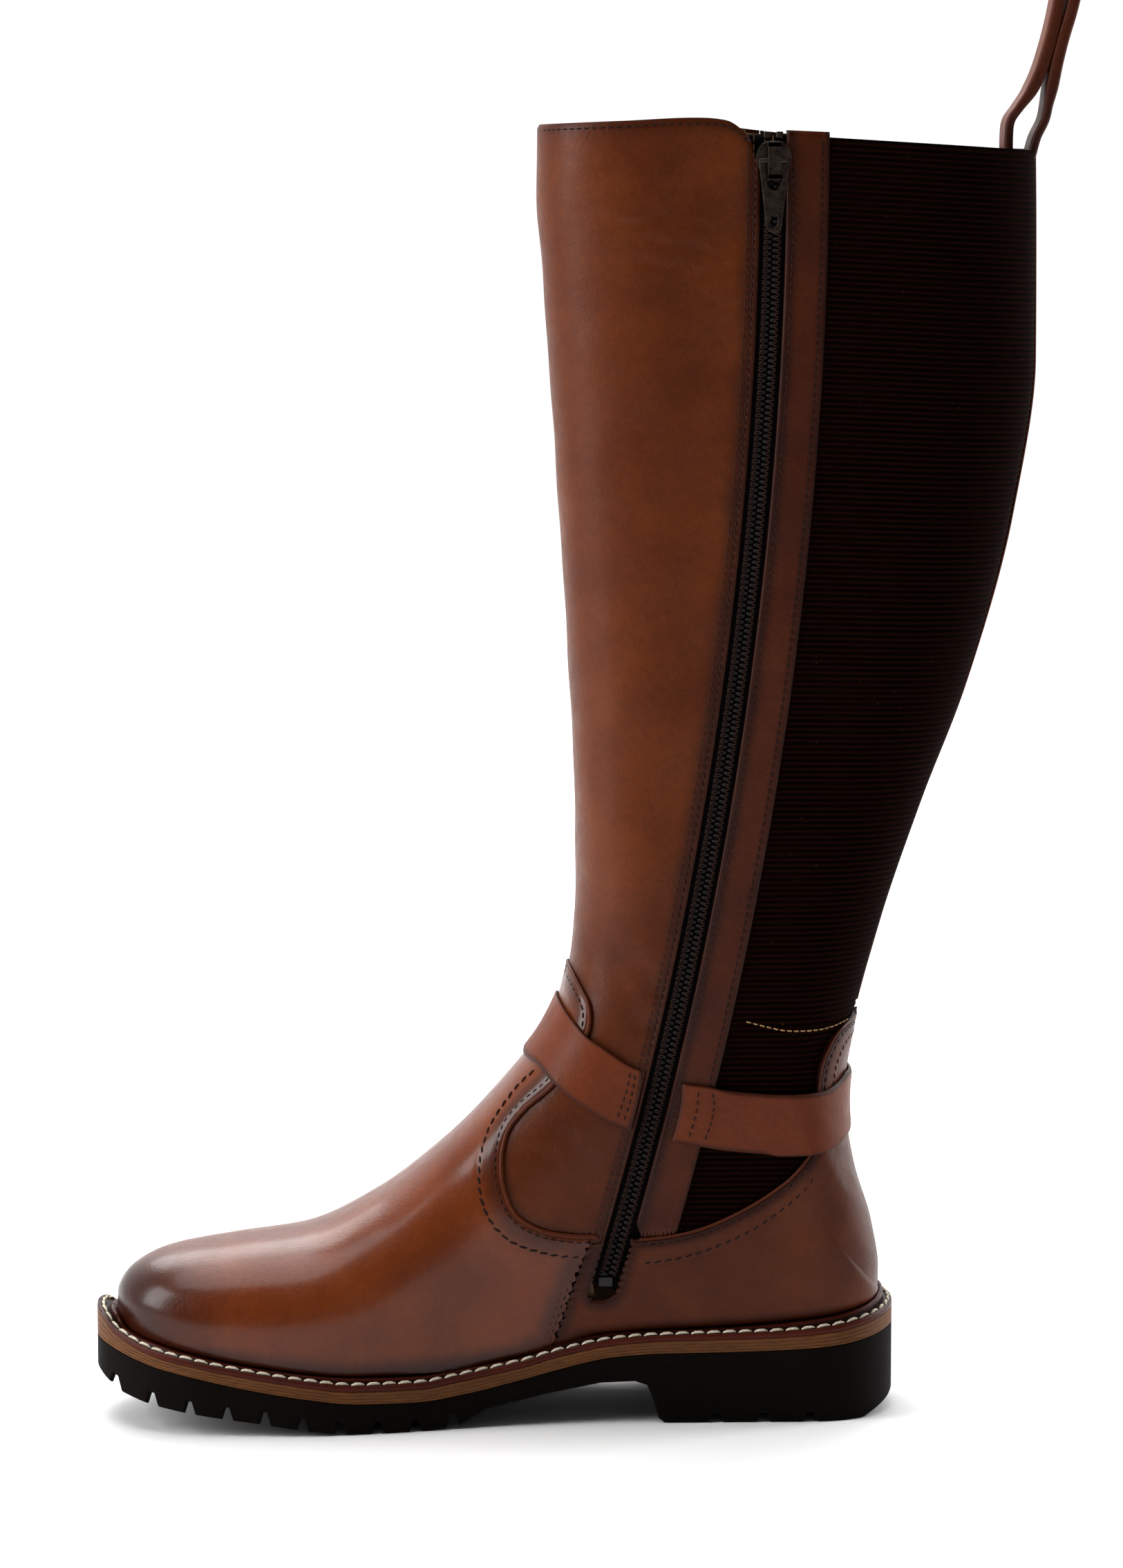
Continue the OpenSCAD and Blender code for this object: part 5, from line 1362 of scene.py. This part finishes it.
PIVOT = PLATE - 1.2
side_line = spline([(4.9, 0.6), (5.0, -0.6), (4.7, -4), (4.2, -8), (3.7, -12), (3.1, -17), (2.6, -21)], 0.8)
tip = circle(0, -21, 2.6, 9, 0, -180)
outline = np.vstack([side_line, tip[1:-1], side_line[::-1] * [-1, 1]])
fork = np.vstack([[(2.55, 0.9)], spline([(2.55, -6.3), (2.1, -8), (1, -9.3), (0, -9.6)], 0.5)])
fork = np.vstack([fork, fork[::-1][1:] * [-1, 1]])
outline = np.vstack([outline, fork[::-1]])
eye = ring_path(1.1, 1.9, 0.9, 5) + [0, -19.6]
body_plate = plate([outline, eye], PIVOT - 0.55, PIVOT + 0.55)
pin_a = np.stack([np.full(12, SLIDER_X) + np.linspace(-4.4, 4.4, 12), np.full(12, PIVOT),
                  np.full(12, SLIDER_Z)], -1)
pin = tube(pin_a, np.tile([0, -1.0, 0], (12, 1)), 0.78, 0.78, 14)
points, faces = joined([body_plate, pin])
make("zip_puller", points, faces, BRONZE, body="puller", nodes=["zip_puller"], angle=40,
     bevel=0.3)

# ---------------------------------------------------------------- sole

FEATHER = Curve([(-136, 38.5), (-128.5, 36.8), (-125, 32.5), (-115, 29.7), (-103, 27), (-85, 23.6),
                 (-65.6, 20.8), (-46, 19), (-26.6, 18.5), (-12, 20.1), (9.6, 23.6), (20.7, 27.8),
                 (40.5, 31.2), (55, 31.8), (75, 32.3), (95, 33.6), (115, 36.1), (125.5, 38), (131.6, 40.5),
                 (140, 43)])
TAN_TOP = Curve([(-140, 38.5), (-133.3, 35.5), (-128.3, 31), (-115, 26), (-103, 23.6), (-85, 20.1),
                 (-65.5, 16.9), (-46, 14.6), (-26.6, 14.5), (-12, 16.4), (9.5, 20.4), (20.6, 23.3), (40, 27),
                 (55, 28.1), (75, 28.6), (94.5, 29.1), (114.6, 30.8), (125, 32.4), (136.4, 34.6),
                 (140, 35.4)])
TAN_BOTTOM = Curve([(-140, 30), (-133.3, 27.5), (-115, 22.4), (-103, 20), (-85, 16.1), (-65.5, 12.8),
                    (-46, 10.4), (-26.6, 10.1), (-12, 11.7), (9.5, 16.2), (20.6, 19), (40, 22.9), (55, 23.9),
                    (75, 24.2), (94.5, 24.7), (114.7, 26), (125, 27.3), (136.4, 29.2), (140, 29.8)])
TREAD = Curve([(-140, 19.6), (-134.9, 16.4), (-125, 11.2), (-106, 7.7), (-92, 5.7), (-79, 4), (-67, 2.1),
               (-57, 0.8), (-47, 0), (-27, 0), (-14, 1.1), (-4, 4.4)])
ARCH = [(-3.5, 6.4), (15.6, 10.5), (35.4, 14), (47, 14.4), (51, 13), (53, 8.5), (55, 1.6), (57, 0)]
SOLE_OUT = 4.8
LUG_PITCH, LUG_LENGTH, LUG_DEPTH = 12.6, 8.2, 4.2


def ring(extra, k):
    """Both sides of the sole's outline, moved out by extra, at shares k of its length."""
    lo = TOE_X - extra * (TIP_REACH if extra > 0 else 1.0)
    x = lo + (HEEL_X + extra - lo) * k
    return x, edge_y(x, -1, extra), edge_y(x, 1, extra)


def bottom_line():
    """Corners of the sole's lower edge as (x, z)."""
    points = []
    for i in range(11):
        x = -139 + i * LUG_PITCH
        for a, up in ((0, 0), (LUG_LENGTH, 0), (LUG_LENGTH + 1.3, LUG_DEPTH), (LUG_PITCH - 1.3, LUG_DEPTH)):
            if x + a < -6:
                points.append((x + a, float(TREAD(x + a)) + up))
    points += ARCH
    for x in (72, 88, 104):
        points += [(x, 0), (x + 1, 3), (x + 4, 3), (x + 5, 0)]
    return np.array(points + [(125, 0), (134.5, 4.2), (140, 8)])


BOTTOM = bottom_line()


def stations(corners=()):
    base = (1 - np.cos(np.linspace(0, np.pi, 190))) / 2
    lo = TOE_X - SOLE_OUT * TIP_REACH
    k = (np.array([c for c in corners if lo < c < HEEL_X + SOLE_OUT]) - lo) / (HEEL_X + SOLE_OUT - lo)
    base = base[[np.abs(k - b).min() > 0.0014 for b in base]] if len(k) else base
    return np.unique(np.concatenate([base, k, [0, 1]]))


def sole_body(name, profile, k, material, nodes, middle=(), angle=34, bevel=0.0):
    """A layer of the sole. profile runs down the side as (extra, height as a function of x)."""
    ref = ring(SOLE_OUT, k)[0]
    left, right = [], []
    for extra, height in profile:
        x, a, b = ring(extra, k)
        z = height(ref)
        left.append(np.stack([x, a, z], -1))
        right.append(np.stack([x, b, z], -1))
    under = []
    x, a, b = ring(profile[-1][0], k)
    for y, height in middle:
        under.append(np.stack([x, np.clip(y, a + 0.02, b - 0.02), height(ref)], -1))
    loop = np.stack([*left, *under, *right[::-1]], 1)
    points, faces = loops(loop.reshape(-1, 3), len(k), loop.shape[1], ends=False)
    piece = make(name, points, faces, material, nodes=nodes, bevel=bevel)
    bm = bmesh.new()
    bm.from_mesh(piece.data)
    bmesh.ops.remove_doubles(bm, verts=bm.verts, dist=2e-5)
    bmesh.ops.holes_fill(bm, edges=[e for e in bm.edges if e.is_boundary], sides=0)
    bmesh.ops.recalc_face_normals(bm, faces=bm.faces)
    bm.to_mesh(piece.data)
    bm.free()
    piece.data.polygons.foreach_set("use_smooth", [True] * len(piece.data.polygons))
    piece.data.set_sharp_from_angle(angle=math.radians(angle))
    return piece


def low_edge(x):
    return np.interp(x, BOTTOM[:, 0], BOTTOM[:, 1])


def groove_floor(x):
    """Height of the long groove's floor between the lugs."""
    return np.where(x < -8, np.maximum(low_edge(x), TREAD(x) + LUG_DEPTH - 1), low_edge(x))


sole_k = stations(BOTTOM[:, 0])
sole_body("outsole", [(4.2, TAN_BOTTOM), (4.65, lambda x: TAN_BOTTOM(x) - 0.1),
                      (SOLE_OUT, lambda x: TAN_BOTTOM(x) - 0.4),
                      (SOLE_OUT, lambda x: TAN_BOTTOM(x) * 0.5 + low_edge(x) * 0.5),
                      (SOLE_OUT, lambda x: low_edge(x) + 0.9), (4.55, lambda x: low_edge(x) + 0.28),
                      (3.9, low_edge)], sole_k, RUBBER, ["outsole"],
          [(-4, low_edge), (-3.5, groove_floor), (0.5, groove_floor), (1, low_edge)], bevel=0.35)


def layer(q, dip):
    """A point of the midsole's side at a share of its height, set in by dip."""
    return (SOLE_OUT - dip, lambda x: TAN_TOP(x) * (1 - q) + TAN_BOTTOM(x) * q)


side = [(4.1, TAN_TOP), (4.6, lambda x: TAN_TOP(x) - 0.08), (SOLE_OUT, lambda x: TAN_TOP(x) - 0.3)]
for q in (0.3, 0.55, 0.8):
    side += [layer(q - 0.035, 0), layer(q, 0.16), layer(q + 0.035, 0)]
side += [(SOLE_OUT, lambda x: TAN_BOTTOM(x) + 0.25), (4.6, lambda x: TAN_BOTTOM(x) + 0.06), (4.1, TAN_BOTTOM)]
sole_body("midsole", side, stations(), MIDSOLE, ["midsole"], angle=50)


def welt_piece():
    """The welt runs all round: a flat ledge for the stitches, then a rounded lip against the upper."""
    flat = 2.1
    profile = [(-7, TAN_TOP, 0), (4.5, TAN_TOP, 0), (4.75, TAN_TOP, 0.2), (SOLE_OUT, TAN_TOP, 0.6),
               (4.75, TAN_TOP, flat - 0.55), (4.5, TAN_TOP, flat - 0.15), (4.1, TAN_TOP, flat),
               (2.5, TAN_TOP, flat - 0.05), (1.95, TAN_TOP, flat), (1.75, None, 0.35), (1.68, None, 0.75),
               (1.5, None, 0.93), (1.1, None, 1.0), (0.6, None, 0.98), (-0.2, None, 0.9), (-1.5, None, 0.9),
               (-7, None, 0.9)]
    k = stations()
    rings = []
    for extra, line, h in profile:
        x, a, b = ring(extra, k)
        xs = np.concatenate([x, x[::-1][1:-1]])
        ys = np.concatenate([a, b[::-1][1:-1]])
        low = TAN_TOP(xs) + flat
        high = FEATHER(xs) - 0.6
        z = TAN_TOP(xs) + h if line is not None else low + (high - low) * h
        rings.append(np.stack([xs, ys, z], -1))
    loop = np.stack(rings, 1)
    points, faces = loops(loop.reshape(-1, 3), len(loop), len(profile), shut=True)
    burnish_and_painted_light = np.full((len(loop), len(profile)), 0.25)
    burnish_and_painted_light[:, 6:10] = 0.8
    return make("welt", points, faces, WELT, nodes=["welt"],
                attributes={"burnish_and_painted_light": burnish_and_painted_light.ravel()}, angle=60)


welt_piece()
k = stations()
x, a, b = ring(3.35, k)
line = np.vstack([np.stack([x, a], -1), np.stack([x, b], -1)[::-1], np.stack([x, a], -1)[:1]])
line = np.column_stack([line, TAN_TOP(line[:, 0]) + 2.1])
line = even(line, 0.5)
up = np.tile([0, 0, 1.0], (len(line), 1))
welt_thread = stitches("welt_thread", [(line, up)], 5.3, 5.0, 0.52, THREAD_CREAM, "thread_cream", lift=0.2,
                       slant=0.12)
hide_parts("welt_stitching")

# ---------------------------------------------------------------- pull loop

LOOP_PATH = [(171.9, 410), (172.2, 422), (172, 430), (172.6, 436.5), (175.5, 441), (179.5, 446.5),
             (182.5, 453), (185, 461), (187, 469), (188.6, 477), (189.6, 482), (191.3, 486.3),
             (193.8, 486.3), (194.9, 482.5), (193.8, 477.5), (192.3, 471.5), (190.2, 464.5), (188.2, 456.5),
             (187, 450.5), (185.4, 442.5), (184.2, 437), (181.6, 431.5), (180.3, 427), (179.6, 424)]


def loop_piece():
    path = spline(LOOP_PATH, 0.9)
    d = unit(np.gradient(path, axis=0))
    n = np.stack([-d[:, 1], d[:, 0]], -1)
    run = np.linspace(0, 1, len(path))
    wide = 8.0 - 0.9 * smooth((path[:, 1] - 440) / 45)
    thick = 1.5 + 0.6 * smooth((path[:, 1] - 440) / 9) - 0.9 * smooth((path[:, 1] - 478) / 8)
    q = np.concatenate([[0, 0.01, 0.03, 0.06, 0.1, 0.15], np.linspace(0.2, 0.8, 15),
                        [0.85, 0.9, 0.94, 0.97, 0.99, 1]])
    y = (q * 2 - 1)[None, :] * wide[:, None]
    edge = np.minimum(q, 1 - q)[None, :] * 2 * wide[:, None]
    edge = np.minimum(edge,
                      np.minimum(np.arange(len(path)), np.arange(len(path))[::-1])[:, None] * 0.9 + 0.02)
    half = thick[:, None] * np.sqrt(np.clip(1 - (1 - np.clip(edge / 1.3, 0, 1)) ** 2.3, 0.002, 1))
    half = half - 0.14 * np.exp(-(((edge - 2.0) / 0.4) ** 2))
    sheets = []
    for sign in (1, -1):
        sheets.append(np.stack([path[:, :1] + n[:, :1] * half * sign, y,
                                path[:, 1:] + n[:, 1:] * half * sign], -1))
    points, faces, used = closed(*sheets)
    burnish_and_painted_light = fade(edge, 2.4, 0.55) + 0.3 * (np.abs(run - 0.5) * 2)[:, None] ** 3
    burnish_and_painted_light = np.concatenate([burnish_and_painted_light.ravel(), burnish_and_painted_light.ravel()])[used]
    return make("pull_loop", points, faces, LEATHER_STRAP, None,
                ["pull_loop_anchor", "pull_loop"], attributes={"burnish_and_painted_light": burnish_and_painted_light}, angle=70)


loop_object = loop_piece()

# ---------------------------------------------------------------- the CAD's own pieces

for names, material in ((("cork_filler",), CORK), (("shank",), STEEL), (("insole_board",), BOARD),
                        (("toe_puff", "heel_stiffener_medial", "heel_stiffener_lateral"), STIFF),
                        (("zip_guard",), GUARD), (("footbed",), LINING)):
    for name in names:
        piece = frame["nodes"][name]
        piece.data.materials.clear()
        piece.data.materials.append(material)

# ---------------------------------------------------------------- floor, light and camera

bpy.ops.mesh.primitive_plane_add(size=6.4, location=(0, 0, 0))
floor = bpy.context.object
floor.name = "floor"
n = Nodes("floor_paper")
floor.data.materials.append(n.finish(n.mix(n.noise(3, 2), (0.88, 0.88, 0.88), (0.9, 0.9, 0.9)), 0.95,
                                     specular=0.0))

world = bpy.context.scene.world or bpy.data.worlds.new("studio")
bpy.context.scene.world = world
world.use_nodes = True
# White behind the boot, fading to a dim room in front of it
tree = world.node_tree
toward = tree.nodes.new("ShaderNodeSeparateXYZ")
tree.links.new(tree.nodes.new("ShaderNodeTexCoord").outputs["Generated"], toward.inputs[0])
fall = tree.nodes.new("ShaderNodeMapRange")
fall.interpolation_type = "SMOOTHSTEP"
for key, value in (("From Min", -0.1), ("From Max", 0.75), ("To Min", 0.1), ("To Max", 1.05)):
    fall.inputs[key].default_value = value
tree.links.new(toward.outputs["Y"], fall.inputs["Value"])
tree.links.new(fall.outputs["Result"], tree.nodes["Background"].inputs["Strength"])
tree.nodes["Background"].inputs["Color"].default_value = (1, 1, 1, 1)
bpy.context.scene.view_settings.view_transform = "Standard"
CENTRE = Vector((-0.009, 0, 0.2137))


def lamp(name, place_at, aim, size, power):
    """A soft box at a place, turned to its aim."""
    data = bpy.data.lights.new(name, "AREA")
    data.shape = "RECTANGLE"
    data.size, data.size_y = size
    data.energy = power
    o = bpy.data.objects.new(name, data)
    o.location = place_at
    o.rotation_euler = (Vector(aim) - Vector(place_at)).to_track_quat("-Z", "Y").to_euler()
    bpy.context.scene.collection.objects.link(o)


lamp("left_box", (-1.6, -0.35, 0.85), (0, 0, 0.15), (0.7, 1.2), 26)
lamp("top_box", (-0.35, 0.15, 1.9), (0, 0, 0), (1.6, 1.2), 26)
lamp("back_box", (0.1, 2.4, 2.2), (0, 1.2, 0), (3.4, 1.8), 95)
lamp("right_box", (1.5, 0.5, 0.8), (0.05, 0, 0.2), (0.5, 1.2), 17)

camera_data = bpy.data.cameras.new("camera")
camera_data.sensor_width = 36
camera_data.lens = 116
camera = bpy.data.objects.new("camera", camera_data)
azimuth, elevation, far = math.radians(-2), math.radians(7.05), 1.713
camera.location = CENTRE + far * Vector((math.sin(azimuth) * math.cos(elevation),
                                         -math.cos(azimuth) * math.cos(elevation), math.sin(elevation)))
camera.rotation_euler = (CENTRE - camera.location).to_track_quat("-Z", "Y").to_euler()
bpy.context.scene.collection.objects.link(camera)
bpy.context.scene.camera = camera

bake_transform(loop_object)

import json
